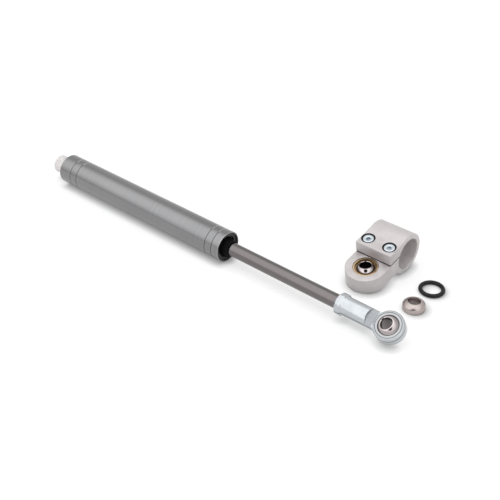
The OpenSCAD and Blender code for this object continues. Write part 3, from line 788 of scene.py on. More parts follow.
    def make_row_tree(self) -> bpy.types.NodeTree:
        """Makes the tree that sets a fastener at each place in a row along X.

        Returns:
            The tree.
        """
        tree, source = self.new_tree(
            "row_of_fasteners",
            [
                ("Count", "NodeSocketInt", 2),
                ("Spacing", "NodeSocketFloat", 0.01),
                ("First place", "NodeSocketVector", (0.0, 0.0, 0.0)),
                ("Turn of each", "NodeSocketFloat", 0.0),
            ],
        )
        step = add_node(tree, "ShaderNodeCombineXYZ")
        tree.links.new(source.outputs["Spacing"], step.inputs["X"])
        row = add_node(tree, "GeometryNodeMeshLine", {"mode": "OFFSET"})
        tree.links.new(source.outputs["Count"], row.inputs["Count"])
        tree.links.new(source.outputs["First place"], row.inputs["Start Location"])
        tree.links.new(step.outputs[0], row.inputs["Offset"])
        turn = add_node(tree, "ShaderNodeCombineXYZ")
        index = add_node(tree, "GeometryNodeInputIndex")
        angle = calculate(tree, "MULTIPLY", index.outputs[0], source.outputs["Turn of each"])
        tree.links.new(angle, turn.inputs["Z"])
        put = add_node(tree, "GeometryNodeInstanceOnPoints")
        tree.links.new(row.outputs[0], put.inputs["Points"])
        tree.links.new(source.outputs["Geometry"], put.inputs["Instance"])
        tree.links.new(turn.outputs[0], put.inputs["Rotation"])
        self.close_tree(tree, source, put.outputs[0])
        return tree

    @staticmethod
    def grow(
        name: str, start: bpy.types.Mesh, tree: bpy.types.NodeTree, values: dict, surface: bpy.types.Material
    ) -> bpy.types.Object:
        """Runs a tree on a mesh and keeps the result as a plain mesh object.

        Args:
            name: The piece's name.
            start: The mesh that the tree starts from.
            tree: The Geometry Nodes tree.
            values: Its inputs, by name.
            surface: The piece's material.

        Returns:
            The new object, at the origin.
        """
        piece = put_in_scene(name, start)
        modifier = piece.modifiers.new("shape", "NODES")
        modifier.node_group = tree
        wanted = {**values, "Surface": surface}
        for item in tree.interface.items_tree:
            if item.item_type == "SOCKET" and item.in_out == "INPUT" and item.name in wanted:
                modifier[item.identifier] = wanted[item.name]
        return Shape.settle(piece)

    @staticmethod
    def settle(piece: bpy.types.Object) -> bpy.types.Object:
        """Turns a piece's modifiers into its mesh.

        Args:
            piece: The object. Its modifiers are removed.

        Returns:
            The same object.
        """
        bpy.context.view_layer.update()
        graph = bpy.context.evaluated_depsgraph_get()
        mesh = bpy.data.meshes.new_from_object(
            piece.evaluated_get(graph), preserve_all_data_layers=True, depsgraph=graph
        )
        piece.modifiers.clear()
        old = piece.data
        piece.data = mesh
        mesh.name = piece.name
        bpy.data.meshes.remove(old)
        return piece

    @staticmethod
    def tidy(piece: bpy.types.Object, place: Matrix | None = None, sharp: float = 35.0) -> bpy.types.Object:
        """Moves a mesh to its place, points its faces outwards and smooths it.

        Args:
            piece: The object.
            place: Matrix from the piece's own frame to the shared frame, in millimetres.
            sharp: Angle in degrees above which an edge stays sharp.

        Returns:
            The same object.
        """
        mesh = piece.data
        if place is not None:
            grow = Matrix.Scale(MM, 4)
            shrink = Matrix.Scale(1.0 / MM, 4)
            mesh.transform(grow @ place @ shrink)
        work = bmesh.new()
        work.from_mesh(mesh)
        bmesh.ops.recalc_face_normals(work, faces=work.faces)
        for face in work.faces:
            face.smooth = True
        work.to_mesh(mesh)
        work.free()
        mesh.set_sharp_from_angle(angle=math.radians(sharp))
        mesh.update()
        return piece

    def turned(
        self,
        name: str,
        profile: Profile,
        surface: bpy.types.Material,
        lay: Lay = Lay(),
        steps: int = 128,
        flutes: int = 0,
        flute_depth: float = 0.0,
        fluted: tuple[float, float] = (0.0, 0.0),
    ) -> bpy.types.Object:
        """Turns a closed or pole-to-pole profile round X and puts it in its place.

        Args:
            name: The piece's name.
            profile: Points (place along X, radius) in millimetres, in order.
            surface: The piece's material.
            lay: Where the piece's own axes lie.
            steps: Steps round the axis.
            flutes: Number of flutes, or 0.
            flute_depth: Their depth in millimetres.
            fluted: The stretch along X that has them, on the outermost surface.

        Returns:
            The new object.
        """
        closed = all(radius > 0.0 for _, radius in (profile[0], profile[-1]))
        points = profile + [profile[0]] if closed else profile
        outermost = max(radius for _, radius in points) - 1e-6
        start = bpy.data.meshes.new(name + "_profile")
        places = [
            (x * MM, float(radius >= outermost and fluted[0] < x < fluted[1]), radius * MM)
            for x, radius in points
        ]
        start.from_pydata(places, [(i, i + 1) for i in range(len(points) - 1)], [])
        values = {
            "Profile points": len(points),
            "Steps round": steps,
            "Flutes": flutes,
            "Flute depth": flute_depth * MM,
        }
        return self.tidy(self.grow(name, start, self.lathe_tree, values, surface), lay.matrix())

    def eased(
        self, name: str, node: str, surface: bpy.types.Material, width: float, sharp: float = 28.0
    ) -> bpy.types.Object:
        """Copies a CAD node with its edges eased, as a blasted or plated piece has them.

        Args:
            name: The piece's name.
            node: The CAD node.
            surface: The piece's material.
            width: Width of the eased edges in millimetres.
            sharp: Angle in degrees above which an edge is eased.

        Returns:
            The new object.
        """
        mesh = bpy.data.objects[node].data.copy()
        work = bmesh.new()
        work.from_mesh(mesh)
        bmesh.ops.remove_doubles(work, verts=work.verts, dist=0.001 * MM)
        bmesh.ops.dissolve_limit(work, angle_limit=math.radians(0.05), verts=work.verts, edges=work.edges)
        work.to_mesh(mesh)
        work.free()
        mesh.materials.clear()
        mesh.materials.append(surface)
        piece = put_in_scene(name, mesh)
        ease = piece.modifiers.new("eased_edges", "BEVEL")
        ease.width = width * MM
        ease.segments = 2
        ease.limit_method = "ANGLE"
        ease.angle_limit = math.radians(sharp)
        ease.use_clamp_overlap = True
        self.settle(piece)
        return self.tidy(piece, sharp=50.0)


# Sections that more than one piece uses


def arc(centre: tuple[float, float], radius: float, start: float, end: float, steps: int) -> Profile:
    """Gives points on an arc of a profile.

    Args:
        centre: Place along X and radius of the arc's centre.
        radius: The arc's radius.
        start: First angle in degrees, from +X towards larger radius.
        end: Last angle in degrees.
        steps: Steps from start to end.

    Returns:
        The points.
    """
    angles = [math.radians(start + (end - start) * i / steps) for i in range(steps + 1)]
    return [(centre[0] + radius * math.cos(a), centre[1] + radius * math.sin(a)) for a in angles]


def bowl_profile(inner: float, half: float, bevel: float, steps: int) -> Profile:
    """Gives the inner side of a ring round a ball, with a bevel at both ends.

    Args:
        inner: The hollow's radius.
        half: Half of the ring's width.
        bevel: The size of the bevels.
        steps: Steps along the hollow.

    Returns:
        The points, from the +X face to the -X face.
    """
    mouth = math.degrees(math.asin(half / inner))
    bowl = arc((0.0, 0.0), inner, 90.0 - mouth, 90.0 + mouth, steps)
    end = half - bevel
    radius = math.sqrt(inner**2 - end**2)
    face = math.sqrt(inner**2 - half**2) + bevel
    return [(half, face), (end, radius), *bowl[1:-1], (-end, radius), (-half, face)]


# Sub-assemblies


@dataclass
class Workshop:
    """What every sub-assembly needs: the effects, the shapes and the materials made so far."""

    effects: SurfaceEffects = field(default_factory=SurfaceEffects)
    shape: Shape = field(default_factory=Shape)
    made: dict[str, bpy.types.Material] = field(default_factory=dict)

    def material(
        self, finish: str, lay: Lay = Lay(), suffix: str = "", zones: tuple[Zone, ...] = ()
    ) -> bpy.types.Material:
        """Gives the material of a finish, made at its first use.

        Args:
            finish: The finish's name.
            lay: Where the piece's own axes lie.
            suffix: A word for a lay other than the damper's own.
            zones: Parts with a tone of their own, mostly painted shade or a painted highlight. They count at
                the first use only.

        Returns:
            The material.
        """
        key = finish + suffix
        if key not in self.made:
            self.made[key] = FINISHES[finish].build(self.effects, lay, suffix, zones)
        return self.made[key]

    @staticmethod
    def keep(piece: bpy.types.Object, body: str, slot: str, node: str) -> None:
        """Ties a finished piece to its body, in place of its CAD node.

        Args:
            piece: The finished piece.
            body: The CAD body that it moves with.
            slot: The record's material slot. Not used.
            node: The CAD node that it stands for.
        """
        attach(piece, body)
        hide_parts(node)
        log.info("%s rides on %s with %d faces", piece.name, body, len(piece.data.polygons))

    def dress(self, frame: dict, slot: str, nodes: list[str], lay: Lay = Lay(), suffix: str = "") -> None:
        """Gives CAD nodes that stay their material.

        Args:
            frame: The loaded frame.
            slot: The record's material slot, which is also the finish's name.
            nodes: The nodes.
            lay: Where the pieces' own axes lie.
            suffix: A word for a lay other than the damper's own.
        """
        material = self.material(slot, lay, suffix)
        for name in nodes:
            node = frame["nodes"][name]
            for place in node.material_slots:
                place.material = material
            log.info("%s keeps its CAD shape", name)


@dataclass(frozen=True)
class BoredBall:
    """A ball cut flat at both ends, with a bore. Its bore's wall has painted shade and its flats painted
    light.
    """

    radius: float
    width: float
    tip: tuple[float, float]
    bore_shade_tone: float
    flat_painted_light_tone: float
    tone: float = 1.0
    bore: float = 4.0
    lip: float = 0.3
    rim: float = 0.12
    steps: int = 40

    def profile(self) -> Profile:
        """Gives the ball's section.

        Returns:
            The closed section.
        """
        half = self.width / 2.0
        mouth = self.bore + self.lip
        flat = math.sqrt(self.radius**2 - half**2)
        edge = flat - min(self.rim, (flat - self.bore - self.lip) * 0.4)
        end = math.degrees(math.asin(half / self.radius))
        sphere = arc((0.0, 0.0), self.radius, 90.0 - end, 90.0 + end, self.steps)
        return [
            (half, mouth), (half, edge), *sphere[1:-1], (-half, edge), (-half, mouth),
            (-half + self.lip, self.bore), (half - self.lip, self.bore),
        ]

    def make(self, shop: Workshop, name: str, lay: Lay, suffix: str) -> bpy.types.Object:
        """Makes the ball, tipped in its bearing.

        Args:
            shop: The workshop.
            name: The ball's name.
            lay: Where the bearing's axis lies.
            suffix: The word for this lay.

        Returns:
            The new object.
        """
        tipped = replace(lay, tip=self.tip)
        end = self.width / 2.0 - self.lip
        # Painted shade on the bore's wall, and painted light on the flats: a highlight above 1, shade below 1
        zones = (
            Zone.about(tipped, -1.0, FAR, self.tone),
            Zone.about(tipped, -1.0, self.bore + FADE, self.bore_shade_tone),
            Zone.about(tipped, self.bore, FAR, self.flat_painted_light_tone, end, FAR),
            Zone.about(tipped, self.bore, FAR, self.flat_painted_light_tone, -FAR, -end),
        )
        chrome = shop.material("ball_steel", tipped, suffix, zones)
        return shop.shape.turned(name, self.profile(), chrome, tipped)


@dataclass
class Barrel:
    """The tube with its glands, wipers, bushes, seals and clips."""

    radius: float = 11.0
    wall: float = 1.5
    length: float = 163.0
    rim_chamfer: float = 0.4
    inner_chamfer: float = 0.25
    lines: tuple[float, ...] = (-69.7, -62.9, 69.5, 75.5)
    line_width: float = 0.5
    line_depth: float = 0.2
    line_floor_share: float = 0.6
    clip_groove: tuple[float, float] = (1.0, 2.05)
    clip_depth: float = 0.6
    rod_radius: float = 4.75
    rod_space: float = 0.4
    gland_face: float = 2.05
    gland_length: float = 25.0
    gland_bevel: float = 0.3
    gland_back_bevel: float = 0.4
    wiper_pocket: float = 3.0
    wiper_foot: float = 6.7
    tool_steps: tuple[float, ...] = (0.8, 1.6)
    tool_step_width: float = 0.3
    tool_step_floor: float = 0.14
    tool_step_depth: float = 0.12
    wiper_nose: float = 4.6
    wiper_lip: float = 0.7
    wiper_waist: float = 0.35
    wiper_step: float = 0.15
    wiper_flare: tuple[float, float] = (0.5, 0.2)
    wiper_round: tuple[float, float] = (0.15, 0.2)
    line_edge: float = 0.05
    line_back: float = -2.0
    # Painted shade on the front of the scribed lines, and a painted highlight on their back
    line_shade_tone: float = 0.45
    line_highlight_tone: float = 2.6
    # Painted highlight on the tube's end faces and rim chamfers
    rim_highlight_tone: float = 1.35
    # Painted shade inside the tube's mouths
    mouth_radius: float = 10.4
    mouth_depth: float = 1.2
    mouth_shade_tone: float = 0.12

    @property
    def half(self) -> float:
        """Half of the tube's length."""
        return self.length / 2.0

    def tube_profile(self) -> Profile:
        """Gives the tube's section, with scribed lines and clip grooves.

        Returns:
            The closed section.
        """
        bore = self.radius - self.wall
        c = self.rim_chamfer
        d = self.inner_chamfer
        r = self.radius
        end = self.half
        edge = bore + d + 0.01
        w = self.line_width / 2.0
        floor = w * self.line_floor_share
        low = r - self.line_depth
        outside = [(-end, edge), (-end, r - c), (-end + c, r)]
        for x in self.lines:
            outside += [(x - w, r), (x - floor, low), (x + floor, low), (x + w, r)]
        outside += [(end - c, r), (end, r - c), (end, edge)]
        near, far = (end - place for place in self.clip_groove)
        deep = bore + self.clip_depth
        inside = [(end - d, bore), (near, bore), (near, deep), (far, deep), (far, bore)]
        return outside + inside + [(-x, radius) for x, radius in inside[::-1]]

    def tube_painted_light_zones(self) -> tuple[Zone, ...]:
        """Gives the zones of painted light: painted shade on the scribed lines' front and a painted highlight
        behind them, a painted highlight on the rims and painted shade in the mouths.

        Returns:
            The zones.
        """
        own = Lay()
        zones = []
        reach = self.line_width / 2.0 + self.line_edge
        for x in self.lines:
            # Painted shade on each line's front, and a painted highlight on its back
            near, far = x - reach, x + reach
            zones.append(Zone(own, (near, 0.0, -FAR), (far, FAR, self.line_back), self.line_shade_tone))
            zones.append(Zone(own, (near, 0.0, self.line_back), (far, FAR, FAR), self.line_highlight_tone))
        # Painted highlight on both rims
        past = self.half + PAST
        rim = self.half - self.rim_chamfer
        for near, far in ((rim, past), (-past, -rim)):
            zones.append(Zone.about(own, 0.0, FAR, self.rim_highlight_tone, near, far))
        # Painted shade inside both mouths
        deep = self.half - self.mouth_depth
        for near, far in ((deep, past), (-past, -deep)):
            zones.append(Zone.about(own, 0.0, self.mouth_radius, self.mouth_shade_tone, near, far))
        return tuple(zones)

    def gland_profile(self) -> Profile:
        """Gives a gland's section, as at the front end, with shallow tool steps on its face.

        Returns:
            The closed section.
        """
        bore = self.radius - self.wall - SEAT_FIT
        face = self.half - self.gland_face
        back = face - self.gland_length
        inner = self.rod_radius + self.rod_space
        pocket = self.wiper_foot + SEAT_FIT
        half = self.tool_step_width / 2.0
        narrow = self.tool_step_floor / 2.0
        b = self.gland_back_bevel
        c = self.gland_bevel
        low = face - self.tool_step_depth
        marks: Profile = []
        for step in self.tool_steps:
            r = bore - step
            marks += [(face, r + half), (low, r + narrow), (low, r - narrow), (face, r - half)]
        return [
            (back, inner), (back, bore - b), (back + b, bore), (face - c, bore), (face, bore - c), *marks,
            (face, pocket), (face - self.wiper_pocket, pocket), (face - self.wiper_pocket, inner),
        ]

    def wiper_profile(self, nose: float) -> Profile:
        """Gives a wiper's section, as at the front end.

        Args:
            nose: How far its cone stands out past the rim.

        Returns:
            The section.
        """
        foot = self.half - self.gland_face - self.wiper_pocket
        waist = self.half - self.clip_groove[0]
        tip = self.half + nose
        inner = self.rod_radius + RUN_FIT
        lip = inner + self.wiper_lip
        low = (waist + self.wiper_waist, self.wiper_foot - self.wiper_step)
        high = (tip - self.wiper_flare[0], lip + self.wiper_flare[1])
        flank = [
            (low[0] + (high[0] - low[0]) * t, low[1] + (high[1] - low[1]) * t)
            for t in (0.0, 0.25, 0.5, 0.75, 1.0)
        ]
        return [
            (foot, inner), (foot, self.wiper_foot), (waist, self.wiper_foot), *flank,
            (tip - self.wiper_round[0], lip), (tip, lip - self.wiper_round[1]), (tip, inner),
        ]

    def build(self, shop: Workshop, frame: dict) -> None:
        """Builds the tube, glands and wipers and dresses what stays.

        Args:
            shop: The workshop.
            frame: The loaded frame.
        """
        shape = shop.shape
        grey = shop.material("tube_grey", zones=self.tube_painted_light_zones())
        tube = shape.turned("tube_dressed", self.tube_profile(), grey, steps=192)
        shop.keep(tube, "barrel", "tube_grey", "tube")
        for end, side in (("front", 1.0), ("rear", -1.0)):
            nose = self.wiper_nose if end == "front" else 0.0
            profile = [(side * x, r) for x, r in self.gland_profile()]
            gland = shape.turned(end + "_gland_dressed", profile, shop.material("gland_black"))
            shop.keep(gland, "barrel", "gland_black", end + "_gland")
            profile = [(side * x, r) for x, r in self.wiper_profile(nose)]
            wiper = shape.turned(end + "_wiper_dressed", profile, shop.material("wiper_black"))
            shop.keep(wiper, "barrel", "seal_black", end + "_wiper")
            rubber = [end + name for name in ("_rod_seal", "_gland_o_ring", "_bump_stop")]
            shop.dress(frame, "seal_black", rubber)
            shop.dress(frame, "bronze", [end + "_bush"])
            shop.dress(frame, "clip_steel", [end + "_circlip"])


@dataclass
class RodAndAdjuster:
    """The rod with its piston, and the knob with its needle."""

    half_tube: float = 81.5
    knob_gap: float = 0.4
    knob_length: float = 11.6
    knob_radius: float = 6.75
    knob_chamfer: float = 0.5
    end_wall: float = 5.0
    cup_radius: float = 4.8
    cup_lead: float = 0.3
    dish_depth: float = 0.25
    dish_floor: float = 2.6
    dish_edge: float = 2.9
    tail_radius: float = 1.55
    tail_end: float = 0.8
    flutes: int = 24
    steps_per_flute: int = 12
    flute_depth: float = 0.35
    flute_start: float = 1.6
    flute_end: float = 7.5
    flute_runout: float = 0.25
    flute_parts: int = 6
    corner_share: float = 0.3
    screw_radius: float = 1.28
    screw_from_front: float = 2.25
    hole_steps: int = 48
    hole_past: float = 0.5

    @property
    def front(self) -> float:
        """Place of the knob's front face."""
        return -self.half_tube - self.knob_gap

    @property
    def rear(self) -> float:
        """Place of the knob's rear face."""
        return self.front - self.knob_length

    def knob_profile(self) -> Profile:
        """Gives the knob's section, with the cup that takes the rod's end.

        Returns:
            The section, from one pole to the other.
        """
        front = self.front
        rear = self.rear
        r = self.knob_radius
        c = self.knob_chamfer
        corner = c * self.corner_share
        floor = rear + self.end_wall
        run = self.flute_end - self.flute_start
        parts = self.flute_parts
        fluted = [(rear + self.flute_start + run * i / parts, r) for i in range(parts + 1)]
        dish = rear + self.dish_depth
        before = rear + self.flute_start - self.flute_runout
        behind = rear + self.flute_end + self.flute_runout
        tail = rear + self.tail_end
        return [
            (dish, 0.0), (dish, self.dish_floor), (rear, self.dish_edge), (rear, r - c),
            (rear + corner, r - corner), (rear + c, r), (before, r), *fluted, (behind, r), (front - c, r),
            (front - corner, r - corner), (front, r - c), (front, self.cup_radius + self.cup_lead),
            (front - self.cup_lead, self.cup_radius), (floor, self.cup_radius), (floor, self.tail_radius),
            (tail, self.tail_radius), (tail, 0.0),
        ]

    def build(self, shop: Workshop, frame: dict) -> None:
        """Builds the knob and dresses the rod, piston and needle.

        Args:
            shop: The workshop.
            frame: The loaded frame.
        """
        silver = shop.material("knob_silver")
        knob = shop.shape.turned(
            "knob_dressed",
            self.knob_profile(),
            silver,
            steps=self.flutes * self.steps_per_flute,
            flutes=self.flutes,
            flute_depth=self.flute_depth,
            fluted=(self.rear + self.flute_start - 0.01, self.rear + self.flute_end + 0.01),
        )
        self.drill_screw_hole(knob)
        shop.shape.tidy(knob)
        shop.keep(knob, "knob", "knob_silver", "adjuster_knob")
        shop.dress(frame, "screw_zinc", ["knob_guide_screw"])
        shop.dress(frame, "rod_steel", ["piston_rod"])
        shop.dress(frame, "piston_metal", ["piston"])
        shop.dress(frame, "ring_plastic", ["piston_ring"])
        shop.dress(frame, "clip_steel", ["piston_clips", "detent_spring"])
        shop.dress(frame, "ball_steel", ["detent_ball"])
        shop.dress(frame, "needle_brass", ["needle"])
        shop.dress(frame, "seal_black", ["needle_o_ring"])

    def drill_screw_hole(self, knob: bpy.types.Object) -> None:
        """Cuts the guide screw's hole into the knob's underside.

        Args:
            knob: The knob.
        """
        x = self.front - self.screw_from_front
        mesh = bpy.data.meshes.new("screw_hole")
        work = bmesh.new()
        radius = self.screw_radius * MM
        bmesh.ops.create_cone(
            work,
            cap_ends=True,
            segments=self.hole_steps,
            radius1=radius,
            radius2=radius,
            depth=2.0 * (self.knob_radius - self.cup_radius + self.hole_past) * MM,
            matrix=Matrix.Translation((x * MM, 0.0, -self.knob_radius * MM)),
        )
        work.to_mesh(mesh)
        work.free()
        drill = put_in_scene("screw_hole", mesh)
        cut = knob.modifiers.new("hole", "BOOLEAN")
        cut.operation = "DIFFERENCE"
        cut.solver = "EXACT"
        cut.object = drill
        Shape.settle(knob)
        bpy.data.objects.remove(drill)
        bpy.data.meshes.remove(mesh)


@dataclass
class RodEnd:
    """The rod end: housing, ring and bored ball."""

    centre_x: float = 212.1
    roll: float = 32.0
    # The ball has painted shade in its bore and a painted highlight on its flats
    ball: BoredBall = BoredBall(7.6, 12.0, (0.0, -11.0), bore_shade_tone=0.38, flat_painted_light_tone=1.3, tone=0.8)
    eye_thickness: float = 8.0
    ring_wall: float = 0.95
    ring_shown: float = 8.3
    ring_bevel: float = 0.15
    edge_width: float = 0.18
    # Painted shade on the eye's faces
    face_radius: float = 10.2
    face_shade_tone: float = 0.76
    # Painted shade in the seam round the ring and in the gap round the ball's mouth
    face_depth: float = 0.2
    seam: float = 0.36
    gap_width: float = 0.45
    seam_shade_tone: float = 0.3
    # A band of painted shade round the eye's flank
    step_radius: float = 9.3
    step_low: float = 1.2
    step_high: float = 2.2
    step_shade_tone: float = 0.28
    # Painted shade on the neck's milled flats
    neck_start: float = -15.0
    neck_end: float = -9.3
    neck_half: float = 3.4
    neck_shade_tone: float = 0.58
    neck_depth: float = 0.3
    neck_fade: float = 0.2

    @property
    def lay(self) -> Lay:
        """Where the eye's axis lies."""
        return Lay((self.centre_x, 0.0, 0.0), self.roll, upright=True)

    @property
    def along(self) -> Lay:
        """Where the housing's length lies, for its grain."""
        return Lay((self.centre_x, 0.0, 0.0), self.roll)

    @property
    def seam_shade_zone(self) -> Zone:
        """Painted shade in the seam between the ring and the housing."""
        inner = self.ring_shown - self.seam / 2.0
        return Zone.about(self.lay, inner, self.ring_shown + self.seam, self.seam_shade_tone)

    def ring_profile(self) -> Profile:
        """Gives the section of the ring round the ball.

        Returns:
            The closed section.
        """
        half = self.eye_thickness / 2.0
        inner = self.ball.radius + RUN_FIT
        outer = inner + self.ring_wall
        taper = outer - self.ring_shown
        return [
            *bowl_profile(inner, half, self.ring_bevel, 28), (-half, self.ring_shown), (-half + taper, outer),
            (half - taper, outer), (half, self.ring_shown),
        ]

    def housing_shade_zones(self) -> tuple[Zone, ...]:
        """Gives the zones of painted shade: in the seam, in a band round the eye's flank, on the eye's faces
        and on the neck's flats.

        Returns:
            The zones.
        """
        half = self.eye_thickness / 2.0
        # Painted shade in the seam and in a band round the eye's flank
        zones = [
            self.seam_shade_zone,
            Zone.about(self.lay, self.step_radius, FAR, self.step_shade_tone, self.step_low, self.step_high),
        ]
        # Painted shade on both faces of the eye
        under = half - self.face_depth
        for near, far in ((under, half + PAST), (-half - PAST, -under)):
            zones.append(Zone.about(self.lay, 0.0, self.face_radius, self.face_shade_tone, near, far))
        # Painted shade on the neck's flats, above and below
        for height in (self.neck_half, -self.neck_half):
            low = (self.neck_start, -FAR, height - self.neck_depth)
            high = (self.neck_end, FAR, height + self.neck_depth)
            zones.append(Zone(self.along, low, high, self.neck_shade_tone, round=False, fade=self.neck_fade))
        return tuple(zones)

    def build(self, shop: Workshop, frame: dict) -> None:
        """Builds the rod end's three pieces.

        Args:
            shop: The workshop.
            frame: The loaded frame. Not used.
        """
        shape = shop.shape
        zinc = shop.material("rod_end_zinc", self.along, "_along", self.housing_shade_zones())
        housing = shape.eased("rod_end_dressed", "rod_end_housing", zinc, self.edge_width)
        shop.keep(housing, "rod", "rod_end_zinc", "rod_end_housing")
        mouth = math.sqrt((self.ball.radius + RUN_FIT) ** 2 - (self.eye_thickness / 2.0) ** 2)
        # Painted shade in the gap round the ball's mouth and in the seam
        gap = Zone.about(self.lay, 0.0, mouth + self.gap_width, self.seam_shade_tone)
        steel = shop.material("race_steel", self.lay, "_eye", (self.seam_shade_zone, gap))
        ring = shape.turned("rod_end_ring_dressed", self.ring_profile(), steel, self.lay)
        shop.keep(ring, "rod", "race_steel", "rod_end_race")
        ball = self.ball.make(shop, "rod_end_ball_dressed", self.lay, "_eye")
        shop.keep(ball, "eye_ball", "ball_steel", "rod_end_ball")


@dataclass
class TubeClamp:
    """The clamp with its screws and spherical bearing."""

    x: float = 167.1
    y: float = 68.3
    ring_radius: float = 14.43
    width: float = 27.2
    lug_reach: float = 29.0
    lug_top: float = 5.0
    lug_thickness: float = 11.5
    jaw_top: float = 14.0
    screw_reach: float = 13.4
    screw_spacing: float = 16.5
    head_radius: float = 3.8
    head_height: float = 4.0
    head_sink: float = 0.3
    socket_radius: float = 1.73
    socket_depth: float = 2.0
    shank_radius: float = 2.0
    shank_length: float = 14.0
    shank_bevel: float = 0.5
    seat_bevel: float = 0.15
    head_round: float = 0.45
    head_round_middle: tuple[float, float] = (0.12, 0.16)
    socket_lead: tuple[float, float] = (0.25, 0.2)
    socket_cone: float = 0.4
    screw_steps: int = 72
    screw_turn: float = 17.0
    keeper_sink: float = 0.4
    keeper_thickness: float = 1.0
    face_gap: float = 0.05
    bearing_radius: float = 8.5
    bearing_width: float = 5.0
    race_bevel: float = 0.2
    race_chamfer: float = 0.25
    race_land: float = 1.2
    # The ball has painted shade in its bore and on its flats
    ball: BoredBall = BoredBall(6.5, 9.6, (-6.5, -4.5), bore_shade_tone=0.12, flat_painted_light_tone=0.8)
    edge_width: float = 0.15
    jaw_reach: float = 20.2
    slit: float = 0.7
    # Painted shade in the slit between the jaw and the lug
    slit_shade_tone: float = 0.04
    # Painted shade round the bearing's seat
    seat_reach: float = 0.6
    seat_below: float = 0.02
    seat_shade_tone: float = 0.12
    # Painted shade in the wells round the screw heads
    well_reach: float = 1.3
    well_below: float = 0.04
    well_depth: float = 5.0
    well_shade_tone: float = 0.1
    # Painted shade on the screw heads' flanks
    flank_depth: float = 0.3
    flank_shade_tone: float = 0.15
    # Painted shade on the race's face round the ball and at its outer edge
    race_inner: float = 7.5
    race_shade_tone: float = 0.45
    race_edge: float = 8.15
    race_edge_shade_tone: float = 0.25

    @property
    def tilt(self) -> float:
        """Angle at which the clamp rests on its ring and on the end of its lug.

        Returns:
            The angle in degrees.
        """
        bottom = self.lug_top - self.lug_thickness
        reach = self.lug_reach + self.width / 2.0
        lean = math.asin(self.ring_radius / math.hypot(reach, bottom)) - math.atan2(-bottom, reach)
        return math.degrees(lean)

    @property
    def centre(self) -> Point:
        """Centre of the clamp's ring."""
        return (self.x, self.y, FLOOR + self.ring_radius)

    @property
    def lay(self) -> Lay:
        """Where the clamp's ring lies."""
        return Lay(self.centre, self.tilt)

    @property
    def bearing_lay(self) -> Lay:
        """Where the bearing's centre and axis lie.

        Returns:
            The lay, with the bearing's axis along its X.
        """
        top = self.lug_top - self.keeper_sink - self.keeper_thickness - self.face_gap
        own = Vector((0.0, -self.lug_reach, top - self.bearing_width / 2.0))
        middle = self.lay.matrix() @ own
        return Lay(tuple(middle), self.tilt, upright=True)

    def screw_lay(self, side: float) -> Lay:
        """Gives where a screw's axis lies.

        Args:
            side: -1 for the first screw, 1 for the second.

        Returns:
            The lay, with its centre level with the ring's.
        """
        own = Vector((side * self.screw_spacing / 2.0, -self.screw_reach, 0.0))
        middle = self.lay.matrix() @ own
        return Lay(tuple(middle), self.tilt, upright=True)

    def ring_profile(self) -> Profile:
        """Gives the section of the bearing's outer ring.

        Returns:
            The closed section.
        """
        half = self.bearing_width / 2.0
        r = self.bearing_radius
        c = self.race_chamfer
        return [
            *bowl_profile(self.ball.radius + RUN_FIT, half, self.race_bevel, 24), (-half, r - self.race_land),
            (-half, r - c), (-half + c, r), (half - c, r), (half, r - c),
        ]

    def screw_ring(
        self, work: bmesh.types.BMesh, radius: float, height: float, hexagon: bool
    ) -> list[bmesh.types.BMVert]:
        """Adds one ring of a screw's points, or the point at its pole.

        Args:
            work: The mesh being made.
            radius: The ring's radius, or 0 for the pole. A hexagon's corners lie on it.
            height: Its height over the head's seat.
            hexagon: True for a ring of the socket.

        Returns:
            The points, in order.
        """
        if radius == 0.0:
            return [work.verts.new((0.0, 0.0, height * MM))]
        sixth = math.pi / 3.0
        ring = []
        for i in range(self.screw_steps):
            a = 2.0 * math.pi * i / self.screw_steps
            reach = radius
            if hexagon:
                reach *= math.cos(sixth / 2.0) / math.cos((a + sixth / 2.0) % sixth - sixth / 2.0)
            ring.append(work.verts.new((reach * MM * math.cos(a), reach * MM * math.sin(a), height * MM)))
        return ring

    def screw_mesh(self) -> bpy.types.Mesh:
        """Makes one socket screw, its head's seat at the origin and its axis along Z.

        Returns:
            The mesh.
        """
        r = self.head_radius
        h = self.head_height
        shank = self.shank_radius
        foot = -self.shank_length
        floor = h - self.socket_depth
        b = self.shank_bevel
        c = self.seat_bevel
        across, down = self.head_round_middle
        wide, deep = self.socket_lead
        hollow = self.socket_radius
        outside = [
            (0.0, foot), (shank - b, foot), (shank, foot + b), (shank, 0.0), (r - c, 0.0), (r, c),
            (r, h - self.head_round), (r - across, h - down), (r - self.head_round, h), (hollow + wide, h),
        ]
        socket = [(hollow, h - deep), (hollow, floor), (0.0, floor - self.socket_cone)]
        mesh = bpy.data.meshes.new("clamp_screw")
        work = bmesh.new()
        rings = [self.screw_ring(work, radius, height, False) for radius, height in outside]
        rings += [self.screw_ring(work, radius, height, True) for radius, height in socket]
        for low, high in zip(rings, rings[1:]):
            for i in range(self.screw_steps):
                j = (i + 1) % self.screw_steps
                corners = [low[i % len(low)], low[j % len(low)], high[j % len(high)], high[i % len(high)]]
                work.faces.new(list(dict.fromkeys(corners)))
        bmesh.ops.recalc_face_normals(work, faces=work.faces)
        work.to_mesh(mesh)
        work.free()
        return mesh

    def build(self, shop: Workshop, frame: dict) -> None:
        """Builds the clamp's pieces.

        Args:
            shop: The workshop.
            frame: The loaded frame.
        """
        silver = shop.material("clamp_silver", self.lay, "_clamp", self.body_shade_zones())
        body = shop.shape.eased("clamp_dressed", "clamp_body", silver, self.edge_width)
        shop.keep(body, "clamp", "clamp_silver", "clamp_body")
        self.build_screws(shop)
        self.build_bearing(shop, frame)

    def body_shade_zones(self) -> tuple[Zone, ...]:
        """Gives the painted shade in the slit, round the bearing's seat and in the wells of the screws.

        Returns:
            The zones.
        """
